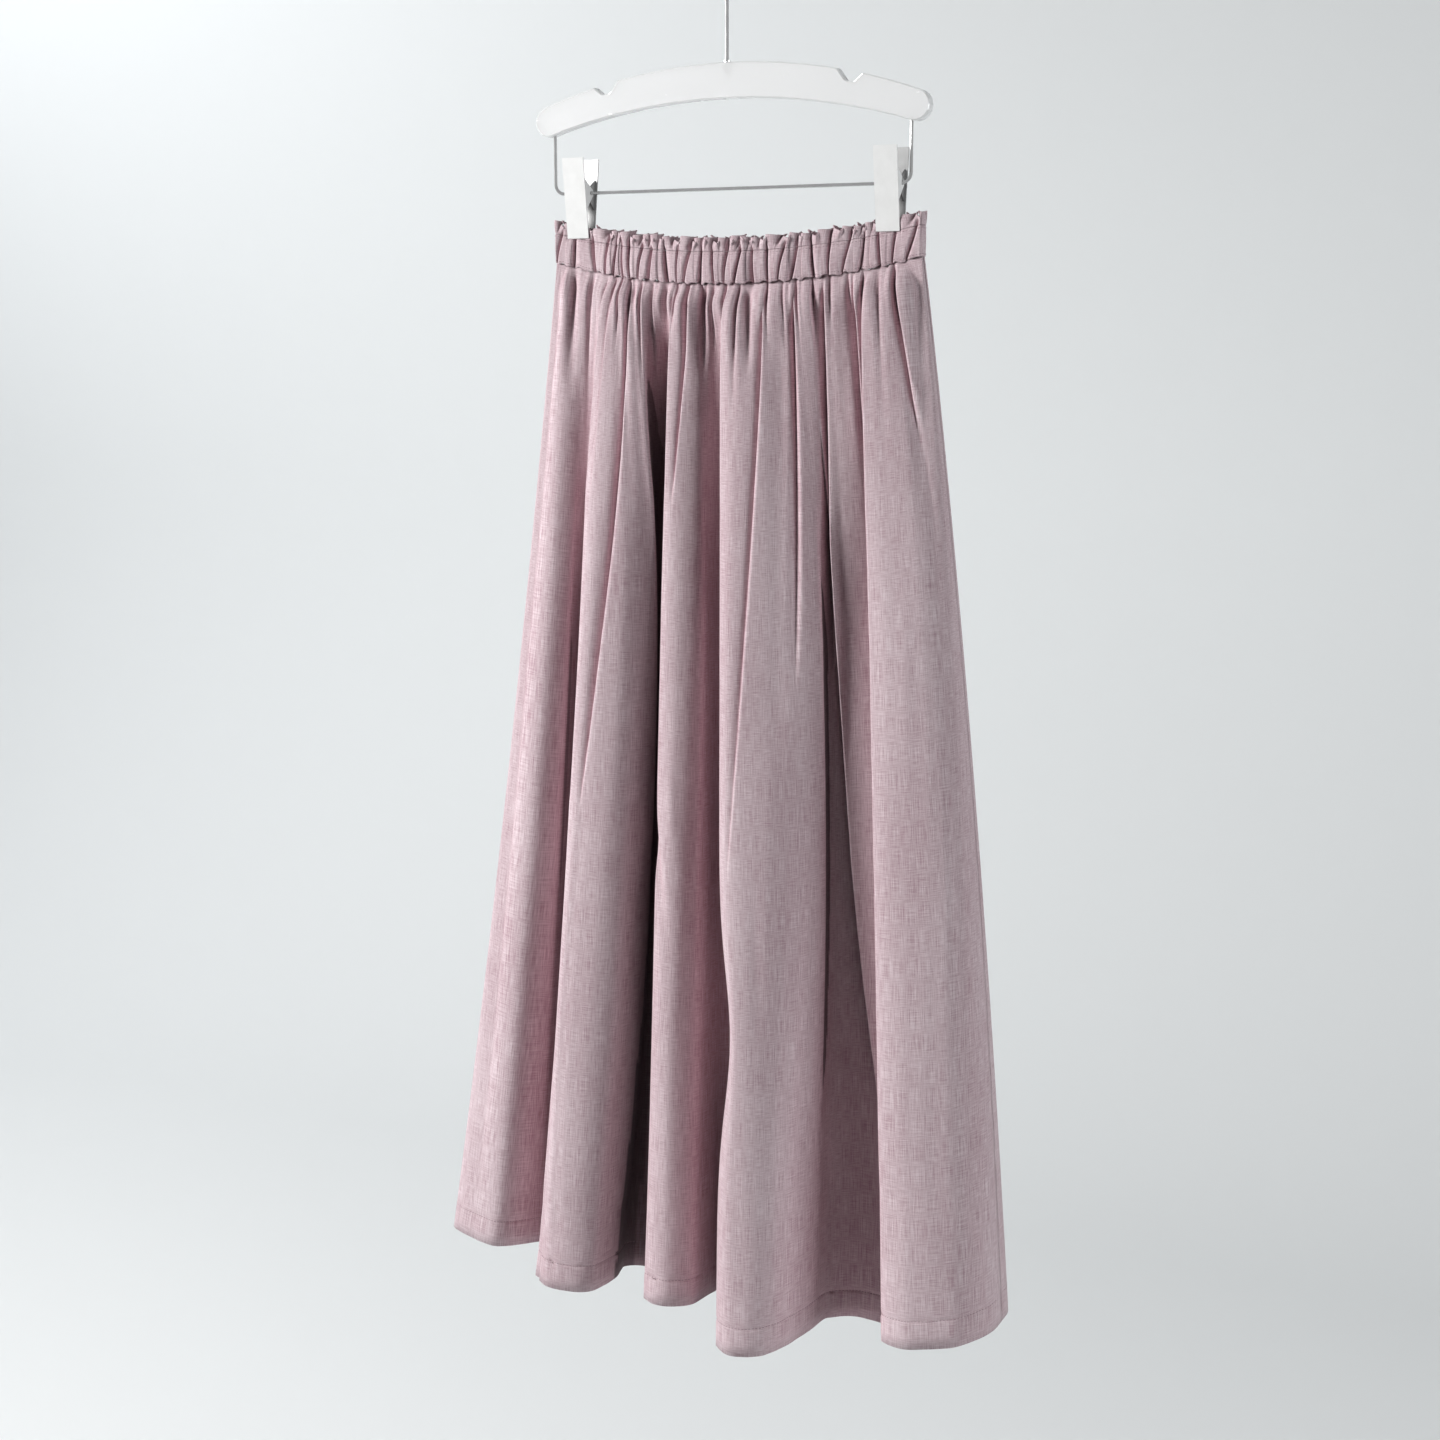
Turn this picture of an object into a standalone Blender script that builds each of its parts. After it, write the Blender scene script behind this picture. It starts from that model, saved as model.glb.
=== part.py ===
"""Gathered maxi skirt held by the two clips of a clear hanger.

Metres, +Z up. X runs across the hanger and the front of the skirt faces -Y.
The origin is the inside top of the hanger's hook, where a rail carries it.
The skirt is a loop of cloth: a ruffled heading, an elastic casing, and a front
and a back panel that fall from the casing in folds to an open hem.
"""

import math

import bmesh
import bpy
import numpy as np
from mathutils import Matrix

MM = 0.001
FIT = 0.3 * MM
COLLECTION_NAME = "maxi_skirt"

# Hook and stem: a round wire, hung by the inside of its top.
HOOK_WIRE_D = 3.3 * MM
HOOK_INNER_R = 17.0 * MM
HOOK_END_ANGLE = 205.0
STEM_BEND_LENGTH = 30.0 * MM

# Clear bar: heights are measured down from the middle of its top edge.
BAR_TOP_Z = -102.0 * MM
BAR_THICK = 10.0 * MM
BAR_DEPTH = 28.5 * MM
BAR_TOP_R = 503.0 * MM
BAR_BOTTOM_R = 560.0 * MM
BAR_END_X = 164.0 * MM
BAR_END_DROP = 40.6 * MM
BAR_END_R = 12.3 * MM
BAR_EDGE = 1.0 * MM

# Socket of the stem in the top of the bar.
FERRULE_D = 6.0 * MM
FERRULE_LENGTH = 10.5 * MM
FERRULE_PROUD = 1.5 * MM

# U of wire under the bar, and how far its cutters reach.
RAIL_WIRE_D = 2.8 * MM
RAIL_HALF_WIDTH = 160.0 * MM
RAIL_DROP = 99.7 * MM
RAIL_IN_BAR = 47.5 * MM
RAIL_BEND_R = 8.0 * MM
RAIL_BORE_DEPTH = 12.0 * MM
CUTTER_PROUD = 5.0 * MM

# Clips: two leaning plates whose ears turn on the wire.
CLIP_X = {"left": -136.0 * MM, "right": 143.0 * MM}
CLIP_WIDTH = 20.0 * MM
CLIP_LENGTH = 66.5 * MM
CLIP_SHEET = 1.2 * MM
CLIP_LEAN = math.radians(7.6)
CLIP_JAW_Z = -239.0 * MM
CLIP_JAW_GAP = 9.0 * MM
EAR_SHEET = 1.0 * MM
EAR_R = 4.2 * MM
EAR_BORE_D = RAIL_WIRE_D + 2 * FIT
EAR_ROOT = 13.0 * MM
EAR_INSET = {"front": 0.2 * MM, "back": 1.6 * MM}
SPRING_LENGTH = 12.0 * MM
SPRING_OUTER_R = 4.4 * MM
SPRING_INNER_R = 1.9 * MM

# Cloth walls.
PANEL_WALL = 1.2 * MM
HEM_WALL = 2.0 * MM
CASING_WALL = 1.7 * MM
HEADING_WALL = 1.2 * MM
SEAM_GAP = 0.3 * MM

# Waist: heights at its two ends, and how much lower its middle hangs.
WAIST_LEFT_X = -158.0 * MM
WAIST_RIGHT_X = 171.5 * MM
WAIST_TOP_Z = -224.5 * MM
WAIST_TOP_SAG = 18.0 * MM
HEADING_HEIGHT = 10.0 * MM
WAIST_SEAM_Z = -259.0 * MM
WAIST_SEAM_SAG = 19.5 * MM
WAIST_HALF_GAP = 2.8 * MM
WAIST_BOW = 12.0 * MM
CLIP_FLAT = 15.0 * MM

# Hem: its height at the sides, and how much lower its middle hangs.
HEM_Z = -1147.0 * MM
HEM_SAG = 27.0 * MM
HEM_TURN_UP = 24.0 * MM

# Gathers: the same number in the front and in the back.
GATHERS = 28
GATHER_DEPTH_WAIST = 1.1 * MM
GATHER_DEPTH_SKIRT = 3.0 * MM
GATHER_SHIFT = 0.22
RUFFLE_DEPTH = 3.4 * MM
RUFFLE_LIFT = 1.6 * MM
PUFF = 6.0 * MM
FOLD_GROWTH = 0.8
NORMAL_REACH = 0.9

# Rows of the panels, as parts of the length from waist seam to hem. The first
# rows have four columns a gather, those after the change have two.
FINE_ROWS = (0.0, 0.012, 0.035, 0.075, 0.13)
COARSE_ROWS = (0.19, 0.27, 0.36, 0.46, 0.57, 0.68, 0.79, 0.89, 0.968)

# Fold lines of the front, from the left seam to the right one, in mm. "at" is
# the place along the waist in gathers. "mid_x" is how far the line swings
# sideways half way down.
FRONT_FOLDS = (
    # name            at  waist_x  hem_x  hem_y  mid_x
    ("left seam",     0.0,  -158,  -280,     6,     6),
    ("left side",    0.34,  -158,  -280,    -6,     6),
    ("lobe 1 crest",  1.8,  -143,  -252,   -16,     5),
    ("valley 1 in",   2.8,  -131,  -208,    28,     4),
    ("valley 1 out",  3.3,  -125,  -188,    34,     3),
    ("lobe 2 edge",   4.0,  -117,  -167,   -43,     1),
    ("lobe 2 crest",  5.4,  -101,  -140,   -53,     0),
    ("lobe 2 right",  6.8,   -86,  -115,   -34,     0),
    ("lobe 2 flank",  7.8,   -75,  -112,    -6,     0),
    ("valley 2 in",   8.8,   -64,  -118,    22,     0),
    ("valley 2 out",  9.7,   -54,   -96,    35,     2),
    ("lobe 3 edge",  10.5,   -44,   -69,   -19,     2),
    ("lobe 3 crest", 11.5,   -33,   -50,   -26,     1),
    ("lobe 3 right", 12.6,   -20,   -30,   -13,     0),
    ("valley 3 in",  13.6,    -9,   -22,    22,     0),
    ("valley 3 out", 14.3,    -1,    -8,    34,     2),
    ("lobe 4 edge",  15.0,     7,    21,   -67,     4),
    ("lobe 4 crest", 16.2,    21,    46,   -88,     0),
    ("lobe 4 right", 17.6,    38,    73,   -71,    -4),
    ("lobe 4 flank", 19.2,    58,    81,   -40,     3),
    ("valley 4 in",  20.6,    75,    93,     3,     8),
    ("valley 4 out", 22.0,    95,   122,    13,     9),
    ("lobe 5 foot",  23.0,   110,   146,    -2,     7),
    ("lobe 5 edge",  23.6,   117,   160,   -24,     5),
    ("lobe 5 crest", 24.8,   133,   188,   -42,     6),
    ("lobe 5 right", 26.2,   151,   226,   -31,     7),
    ("right side",  27.66,   171,   257,     4,     8),
    ("right seam",   28.0,   171,   257,    16,     8),
)

# Fold lines of the back, from the right seam to the left one.
BACK_FOLDS = (
    # name            at  waist_x  hem_x  hem_y  mid_x
    ("right seam",    0.0,   171,   257,    16,     8),
    ("right side",   0.34,   171,   257,    28,     8),
    ("lobe 6 crest",  2.2,   152,   222,    88,     5),
    ("lobe 6 left",   3.8,   134,   190,   100,     3),
    ("valley 6",      5.4,   114,   160,    64,     0),
    ("lobe 7 edge",   7.0,    95,   134,   112,     0),
    ("lobe 7 crest",  8.4,    78,   108,   126,     0),
    ("lobe 7 flank",  9.8,    61,    84,    96,     0),
    ("valley 7",     11.2,    45,    62,    66,     0),
    ("lobe 8 edge",  12.6,    28,    40,   106,     0),
    ("lobe 8 crest", 13.8,    13,    14,   118,     0),
    ("lobe 8 flank", 15.2,    -5,   -12,    92,     0),
    ("valley 8",     16.6,   -23,   -36,    70,     0),
    ("lobe 9 edge",  18.2,   -42,   -58,   114,     0),
    ("lobe 9 crest", 19.6,   -60,   -88,   128,     0),
    ("lobe 9 flank", 21.0,   -76,  -114,    98,     0),
    ("valley 9",     22.4,   -93,  -142,    68,     0),
    ("lobe 10 edge", 23.8,  -110,  -170,   108,     1),
    ("lobe 10 crest", 25.2, -128,  -212,   100,     3),
    ("lobe 10 left", 26.6,  -146,  -252,    58,     5),
    ("left side",   27.66,  -158,  -280,    18,     6),
    ("left seam",    28.0,  -158,  -280,     6,     6),
)

# Small pleats pressed into the gathered part, which end on the way down. "out"
# is the height of the pleat in mm, negative for a crease. The widths are its
# left and right sides, in gathers; the drops are parts of the length.
FRONT_PLEATS = (
    # name           at_top  top  at_end  end   out  left  right
    ("edge 2",          3.9, 0.01,  4.0, 0.60,  2.5, 0.35, 1.4),
    ("wedge crease",    6.9, 0.02,  5.0, 0.44, -7.0, 0.60, 0.25),
    ("tent ridge",      7.2, 0.02, 10.0, 0.22,  4.5, 1.10, 0.40),
    ("shade 2",         9.6, 0.02, 10.0, 0.40, -5.0, 0.90, 0.40),
    ("edge 3",         10.6, 0.01, 10.6, 0.60,  3.0, 0.35, 1.3),
    ("sliver crease",  12.2, 0.02, 10.9, 0.18, -4.0, 0.40, 0.25),
    ("edge 4",         15.1, 0.01, 15.2, 0.55,  3.0, 0.35, 1.2),
    ("thin ridge",     17.9, 0.02, 16.9, 0.52,  3.5, 0.60, 0.40),
    ("ridge 4",        20.0, 0.02, 20.2, 0.40,  4.0, 0.40, 1.0),
    ("shade 4",        19.5, 0.02, 19.5, 0.30, -4.0, 0.60, 0.40),
    ("ridge 5",        21.9, 0.02, 22.6, 0.66,  5.0, 0.40, 0.80),
    ("shade 5",        23.2, 0.02, 22.9, 0.50, -5.0, 0.70, 0.35),
    ("edge 5",         23.8, 0.01, 23.8, 0.62,  3.0, 0.35, 1.3),
    ("side pleat",     26.2, 0.02, 27.0, 0.26,  3.5, 0.40, 0.80),
)
BACK_PLEATS = (
    # name           at_top  top  at_end  end   out  left  right
    ("pleat 6",         2.9, 0.01,  2.6, 0.40,  3.5, 0.40, 1.0),
    ("crease 6",        4.9, 0.02,  5.3, 0.50, -5.0, 0.70, 0.4),
    ("pleat 7",         8.0, 0.01,  7.6, 0.48,  4.0, 0.40, 1.1),
    ("crease 7",       10.8, 0.02, 11.2, 0.42, -5.0, 0.60, 0.4),
    ("pleat 8",        13.1, 0.01, 13.6, 0.30,  3.5, 0.50, 0.9),
    ("crease 8",       16.1, 0.02, 16.5, 0.46, -5.0, 0.60, 0.4),
    ("pleat 9",        18.9, 0.01, 19.0, 0.55,  4.0, 0.40, 1.2),
    ("crease 9",       22.0, 0.02, 22.3, 0.40, -4.5, 0.60, 0.4),
    ("pleat 10",       25.0, 0.01, 25.1, 0.35,  3.5, 0.40, 1.0),
)

# Colours: linear red, green, blue.
LINEN_COLOUR = (0.38, 0.25, 0.27)
CLEAR_COLOUR = (0.90, 0.92, 0.93)
STEEL_COLOUR = (0.70, 0.70, 0.70)
CLIP_COLOUR = (0.82, 0.82, 0.80)


def clear_scene():
    """Remove every object that the file opens with."""
    for item in list(bpy.data.objects):
        bpy.data.objects.remove(item, do_unlink=True)


def new_collection(name):
    """Add a collection to the scene."""
    made = bpy.data.collections.new(name)
    bpy.context.scene.collection.children.link(made)
    return made


def material(name, colour, roughness, metallic):
    """Principled material with the piece's colour, roughness and metallic value."""
    made = bpy.data.materials.new(name)
    made.use_nodes = True
    shader = made.node_tree.nodes["Principled BSDF"]
    shader.inputs["Base Color"].default_value = (*colour, 1.0)
    shader.inputs["Roughness"].default_value = roughness
    shader.inputs["Metallic"].default_value = metallic
    return made


def add_object(name, data, collection, finish):
    """Make an object from a mesh or a curve and give it its material."""
    made = bpy.data.objects.new(name, data)
    data.materials.append(finish)
    collection.objects.link(made)
    return made


def smooth_faces(mesh, angle=40.0):
    """Shade a round piece smooth and keep its edges over the angle sharp."""
    mesh.shade_smooth()
    mesh.set_sharp_from_angle(angle=math.radians(angle))


# Hanger.

def wire_object(name, points, diameter, collection, finish):
    """Round wire along a list of points, with closed ends."""
    curve = bpy.data.curves.new(name, "CURVE")
    curve.dimensions = "3D"
    curve.bevel_depth = diameter / 2
    curve.bevel_resolution = 2
    curve.use_fill_caps = True
    spline = curve.splines.new("POLY")
    spline.points.add(len(points) - 1)
    for slot, point in zip(spline.points, points):
        slot.co = (*point, 1.0)
    spline.use_smooth = True
    return add_object(name, curve, collection, finish)


def arc_points(centre, radius, start, end, steps):
    """Points of an arc in the XZ plane; the angles are in degrees from +X."""
    angles = np.radians(np.linspace(start, end, steps + 1))
    return [(centre[0] + radius * math.cos(a), 0.0, centre[1] + radius * math.sin(a))
            for a in angles]


def build_hook(collection, finish):
    """Stem that rises from the bar, swings aside and turns over into the hook."""
    radius = HOOK_INNER_R + HOOK_WIRE_D / 2
    centre = (0.0, -HOOK_INNER_R)
    foot_z = BAR_TOP_Z + FERRULE_PROUD + FIT
    bend_z = centre[1] - STEM_BEND_LENGTH
    points = [(0.0, 0.0, foot_z), (0.0, 0.0, bend_z)]
    steps = 8
    for step in range(1, steps):
        part = step / steps
        side = radius * (3 * part ** 2 - 2 * part ** 3)
        points.append((side, 0.0, bend_z + part * STEM_BEND_LENGTH))
    points += arc_points(centre, radius, 0.0, HOOK_END_ANGLE, 18)
    return wire_object("hanger_hook", points, HOOK_WIRE_D, collection, finish)


def bar_outline():
    """Outline of the bar in the XZ plane, clockwise from its top middle."""
    def top_z(x):
        return -(BAR_TOP_R - math.sqrt(BAR_TOP_R ** 2 - x * x))

    def bottom_z(x):
        return -BAR_DEPTH - (BAR_BOTTOM_R - math.sqrt(BAR_BOTTOM_R ** 2 - x * x))

    top = [(x * MM, top_z(x * MM)) for x in (14, 30, 50, 70, 86, 98)]
    notch = [(104.5 * MM, -18.6 * MM), (107.5 * MM, -20.2 * MM), (112.5 * MM, -20.4 * MM)]
    beyond = [(x * MM, top_z(x * MM)) for x in (120, 132, 146, 158)]
    end = []
    for angle in np.linspace(62.0, -104.0, 9):
        turn = math.radians(angle)
        end.append((BAR_END_X + BAR_END_R * math.cos(turn),
                    -BAR_END_DROP + BAR_END_R * math.sin(turn)))
    bottom = [(x * MM, bottom_z(x * MM)) for x in (150, 126, 100, 74, 48, 24)]
    right = top + notch + beyond + end + bottom
    left = [(-x, z) for x, z in reversed(right)]
    return [(0.0, 0.0)] + right + [(0.0, -BAR_DEPTH)] + left


def bore_cutter(name, x, low, high, diameter, collection):
    """Upright cylinder that cuts a blind hole in the bar."""
    bpy.ops.mesh.primitive_cylinder_add(
        vertices=12, radius=diameter / 2, depth=high - low,
        location=(x, 0.0, (low + high) / 2))
    cutter = bpy.context.object
    cutter.name = name
    for owner in list(cutter.users_collection):
        owner.objects.unlink(cutter)
    collection.objects.link(cutter)
    cutter.hide_render = True
    cutter.display_type = "WIRE"
    return cutter


def cut_or_join(target, tool, operation):
    """Boolean of one object with another."""
    step = target.modifiers.new(tool.name, "BOOLEAN")
    step.operation = operation
    step.solver = "EXACT"
    step.object = tool


def flat_outline(name, loops, thickness, edge=0.0):
    """Curve data: closed outlines, filled and made as thick as asked."""
    curve = bpy.data.curves.new(name, "CURVE")
    curve.dimensions = "2D"
    curve.fill_mode = "BOTH"
    curve.extrude = thickness / 2 - edge
    curve.bevel_depth = edge
    curve.bevel_resolution = 0
    curve.offset = -edge
    for loop in loops:
        spline = curve.splines.new("POLY")
        spline.points.add(len(loop) - 1)
        for slot, point in zip(spline.points, loop):
            slot.co = (point[0], point[1], 0.0, 1.0)
        spline.use_cyclic_u = True
    return curve


def curve_to_mesh(source, name, collection, finish):
    """Replace a curve object with a mesh object of the same shape."""
    depsgraph = bpy.context.evaluated_depsgraph_get()
    mesh = bpy.data.meshes.new_from_object(source.evaluated_get(depsgraph))
    welded = bmesh_weld(mesh)
    made = bpy.data.objects.new(name, welded)
    made.matrix_world = source.matrix_world.copy()
    welded.materials.clear()
    welded.materials.append(finish)
    collection.objects.link(made)
    bpy.data.objects.remove(source, do_unlink=True)
    return made


def bmesh_weld(mesh):
    """Join the caps of a converted curve to its sides."""
    work = bmesh.new()
    work.from_mesh(mesh)
    bmesh.ops.remove_doubles(work, verts=work.verts, dist=0.00001)
    bmesh.ops.recalc_face_normals(work, faces=work.faces)
    work.to_mesh(mesh)
    work.free()
    return mesh


def build_bar(collection, cutters, finish):
    """Clear arched bar, bored for the stem's socket and for the two wire ends."""
    curve = flat_outline("bar_outline", [bar_outline()], BAR_THICK, BAR_EDGE)
    source = bpy.data.objects.new("bar_outline", curve)
    collection.objects.link(source)
    source.rotation_euler = (math.radians(90), 0.0, 0.0)
    source.location = (0.0, 0.0, BAR_TOP_Z)
    bpy.context.view_layer.update()
    bar = curve_to_mesh(source, "hanger_bar", collection, finish)
    ferrule_foot = BAR_TOP_Z + FERRULE_PROUD - FERRULE_LENGTH
    bores = [bore_cutter("socket_bore", 0.0, ferrule_foot - FIT, BAR_TOP_Z + CUTTER_PROUD,
                         FERRULE_D + 2 * FIT, cutters)]
    wire_top = BAR_TOP_Z - RAIL_IN_BAR
    for side, x in (("left", -RAIL_HALF_WIDTH), ("right", RAIL_HALF_WIDTH)):
        bores.append(bore_cutter("wire_bore_" + side, x, wire_top - RAIL_BORE_DEPTH,
                                 wire_top + FIT, RAIL_WIRE_D + 2 * FIT, cutters))
    for bore in bores:
        cut_or_join(bar, bore, "DIFFERENCE")
    return bar


def build_ferrule(collection, finish):
    """Round socket in the top of the bar, under the stem."""
    foot = BAR_TOP_Z + FERRULE_PROUD - FERRULE_LENGTH
    bpy.ops.mesh.primitive_cylinder_add(
        vertices=16, radius=FERRULE_D / 2, depth=FERRULE_LENGTH,
        location=(0.0, 0.0, foot + FERRULE_LENGTH / 2))
    ferrule = bpy.context.object
    ferrule.name = "hanger_ferrule"
    for owner in list(ferrule.users_collection):
        owner.objects.unlink(ferrule)
    collection.objects.link(ferrule)
    ferrule.data.materials.append(finish)
    smooth_faces(ferrule.data)
    return ferrule


def build_rail(collection, finish):
    """U of wire: two legs in the bar's ends and the rail between them."""
    top = BAR_TOP_Z - RAIL_IN_BAR
    low = BAR_TOP_Z - RAIL_DROP
    reach = RAIL_HALF_WIDTH - RAIL_BEND_R
    right = [(RAIL_HALF_WIDTH, 0.0, top)]
    right += arc_points((reach, low + RAIL_BEND_R), RAIL_BEND_R, 0.0, -90.0, 6)
    left = [(-x, y, z) for x, y, z in reversed(right)]
    return wire_object("hanger_wire", right + left, RAIL_WIRE_D, collection, finish)


# Clips.

def ear_outline(pivot_height, root_low, root_high):
    """Ear in its own plane: first value out from the plate, second along it."""
    sink = CLIP_SHEET / 2
    outline = [(-sink, root_low)]
    for angle in np.linspace(-70.0, 70.0, 9):
        turn = math.radians(angle)
        outline.append((pivot_height + EAR_R * math.cos(turn), EAR_R * math.sin(turn)))
    outline.append((-sink, root_high))
    return outline


def bore_outline(pivot_height):
    """Round hole of the ear, on the pivot."""
    turns = [math.radians(a) for a in range(0, 360, 30)]
    return [(pivot_height + EAR_BORE_D / 2 * math.cos(a), EAR_BORE_D / 2 * math.sin(a))
            for a in turns]


def build_plate(side, face, collection, cutters, finish):
    """Plate of a clip with its two ears; its jaw end is the lower one."""
    sign = -1.0 if face == "front" else 1.0
    pivot_z = BAR_TOP_Z - RAIL_DROP
    jaw_to_pivot = pivot_z - CLIP_JAW_Z
    pivot_height = (CLIP_JAW_GAP / 2 + jaw_to_pivot * math.tan(CLIP_LEAN)) * math.cos(CLIP_LEAN)
    along_to_pivot = jaw_to_pivot / math.cos(CLIP_LEAN) - pivot_height * math.tan(CLIP_LEAN)
    centre_along = CLIP_LENGTH / 2 - along_to_pivot

    bpy.ops.mesh.primitive_cube_add(size=1.0)
    plate = bpy.context.object
    plate.name = "clip_" + side + "_" + face
    plate.scale = (CLIP_WIDTH, CLIP_SHEET, CLIP_LENGTH)
    plate.location = (0.0, -pivot_height - CLIP_SHEET / 2, centre_along)
    bpy.ops.object.transform_apply(location=True, rotation=False, scale=True)
    for owner in list(plate.users_collection):
        owner.objects.unlink(plate)
    collection.objects.link(plate)
    plate.data.materials.append(finish)

    for end in (-1.0, 1.0):
        loops = [ear_outline(pivot_height, -EAR_ROOT, EAR_ROOT), bore_outline(pivot_height)]
        curve = flat_outline("ear", loops, EAR_SHEET)
        source = bpy.data.objects.new("ear", curve)
        cutters.objects.link(source)
        inset = CLIP_WIDTH / 2 - EAR_INSET[face] - EAR_SHEET / 2
        source.matrix_world = ear_matrix(end * inset, -pivot_height)
        bpy.context.view_layer.update()
        ear = curve_to_mesh(source, plate.name + ("_ear_a" if end < 0 else "_ear_b"),
                            cutters, finish)
        ear.hide_render = True
        ear.display_type = "WIRE"
        ear.data.transform(ear.matrix_world)
        ear.matrix_world.identity()
        place_on_pivot(ear, side, sign, pivot_z)
        cut_or_join(plate, ear, "UNION")
    place_on_pivot(plate, side, sign, pivot_z)
    return plate


def ear_matrix(x, y):
    """Turn the ear's own plane to the plate's: out is +Y and along is +Z."""
    return Matrix(((0.0, 0.0, 1.0, x), (1.0, 0.0, 0.0, y), (0.0, 1.0, 0.0, 0.0),
                   (0.0, 0.0, 0.0, 1.0)))


def place_on_pivot(item, side, sign, pivot_z):
    """Lean a piece of a clip about the wire; the back ones are turned round."""
    item.rotation_mode = "XYZ"
    turn = 0.0 if sign < 0 else math.pi
    item.rotation_euler = (CLIP_LEAN, 0.0, turn)
    item.location = (CLIP_X[side], 0.0, pivot_z)
    bpy.context.view_layer.update()


def build_spring(side, collection, finish):
    """Coil of the clip's spring round the wire, as a plain sleeve."""
    half = SPRING_LENGTH / 2
    ring = [(-half, 0.0, SPRING_OUTER_R), (half, 0.0, SPRING_OUTER_R),
            (half, 0.0, SPRING_INNER_R), (-half, 0.0, SPRING_INNER_R)]
    mesh = bpy.data.meshes.new("spring_profile")
    mesh.from_pydata(ring, [(0, 1), (1, 2), (2, 3), (3, 0)], [])
    spring = add_object("clip_" + side + "_spring", mesh, collection, finish)
    turn = spring.modifiers.new("turn", "SCREW")
    turn.axis = "X"
    turn.angle = math.radians(360)
    turn.steps = 16
    turn.render_steps = 16
    turn.use_merge_vertices = True
    turn.merge_threshold = 0.00001
    turn.use_normal_flip = True
    spring.location = (CLIP_X[side], 0.0, BAR_TOP_Z - RAIL_DROP)
    return spring


# Cloth.

def monotone(knots, values, at):
    """Smooth curve through the knots that adds no bump of its own between them."""
    knots = np.asarray(knots, float)
    values = np.asarray(values, float)
    step = np.diff(knots)
    slope = np.diff(values) / step
    tangent = np.zeros(len(knots))
    tangent[0] = slope[0]
    tangent[-1] = slope[-1]
    for i in range(1, len(knots) - 1):
        if slope[i - 1] * slope[i] > 0:
            before = 2 * step[i] + step[i - 1]
            after = step[i] + 2 * step[i - 1]
            tangent[i] = (before + after) / (before / slope[i - 1] + after / slope[i])
    span = np.clip(np.searchsorted(knots, at, side="right") - 1, 0, len(step) - 1)
    s = (at - knots[span]) / step[span]
    h = step[span]
    return ((2 * s ** 3 - 3 * s ** 2 + 1) * values[span]
            + (s ** 3 - 2 * s ** 2 + s) * h * tangent[span]
            + (-2 * s ** 3 + 3 * s ** 2) * values[span + 1]
            + (s ** 3 - s ** 2) * h * tangent[span + 1])


def across(x):
    """Place between the waist's ends, from -1 at the left to 1 at the right."""
    middle = (WAIST_LEFT_X + WAIST_RIGHT_X) / 2
    return (x - middle) / ((WAIST_RIGHT_X - WAIST_LEFT_X) / 2)


def waist_depth(x):
    """How far a layer of the waist stands off the middle plane."""
    low = CLIP_X["left"] + CLIP_WIDTH / 2
    high = CLIP_X["right"] - CLIP_WIDTH / 2
    part = np.clip((x - low) / (high - low), 0.0, 1.0)
    return WAIST_HALF_GAP + WAIST_BOW * (4 * part * (1 - part)) ** 1.2


def hashed(number):
    """Even spread of values from 0 to 1, one for each whole number."""
    value = np.sin(np.asarray(number, float) * 12.9898 + 4.1) * 43758.5453
    return value - np.floor(value)


def gather_wave(at, face):
    """Puffs between narrow creases: 1 on a puff and -1 in a crease."""
    shift = GATHER_SHIFT * np.sin(2.3 * at + (0.0 if face == "front" else 1.7))
    phase = (at + shift * np.sin(np.pi * at) ** 2) % 1.0
    return 1.0 - 2.0 * np.abs(np.cos(np.pi * phase)) ** 3


def fade_at_seams(at):
    """0 at the two side seams, 1 away from them."""
    return np.clip((at - 0.5) / 0.75, 0.0, 1.0) * np.clip((GATHERS - 0.5 - at) / 0.75, 0.0, 1.0)


def pleat_height(pleats, at, t):
    """Height of the small pleats at one level of the skirt."""
    height = np.zeros_like(at)
    for _, at_top, top, at_end, end, out, left, right in pleats:
        part = (t - top) / (end - top)
        if 0.0 < part < 1.0:
            place = at - (at_top + (at_end - at_top) * part)
            width = np.where(place < 0.0, left, right)
            rise = min(1.0, part * 6.0) * (1.0 - part) ** 0.7
            height += out * MM * rise * np.exp(-(place / width) ** 2)
    return height


def crease_strength(at, t):
    """Each gather runs down its own length before it fades."""
    number = np.floor(at + 0.5)
    reach = 0.05 + 0.16 * hashed(number)
    return np.exp(-(t / reach) ** 1.5)


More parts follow.
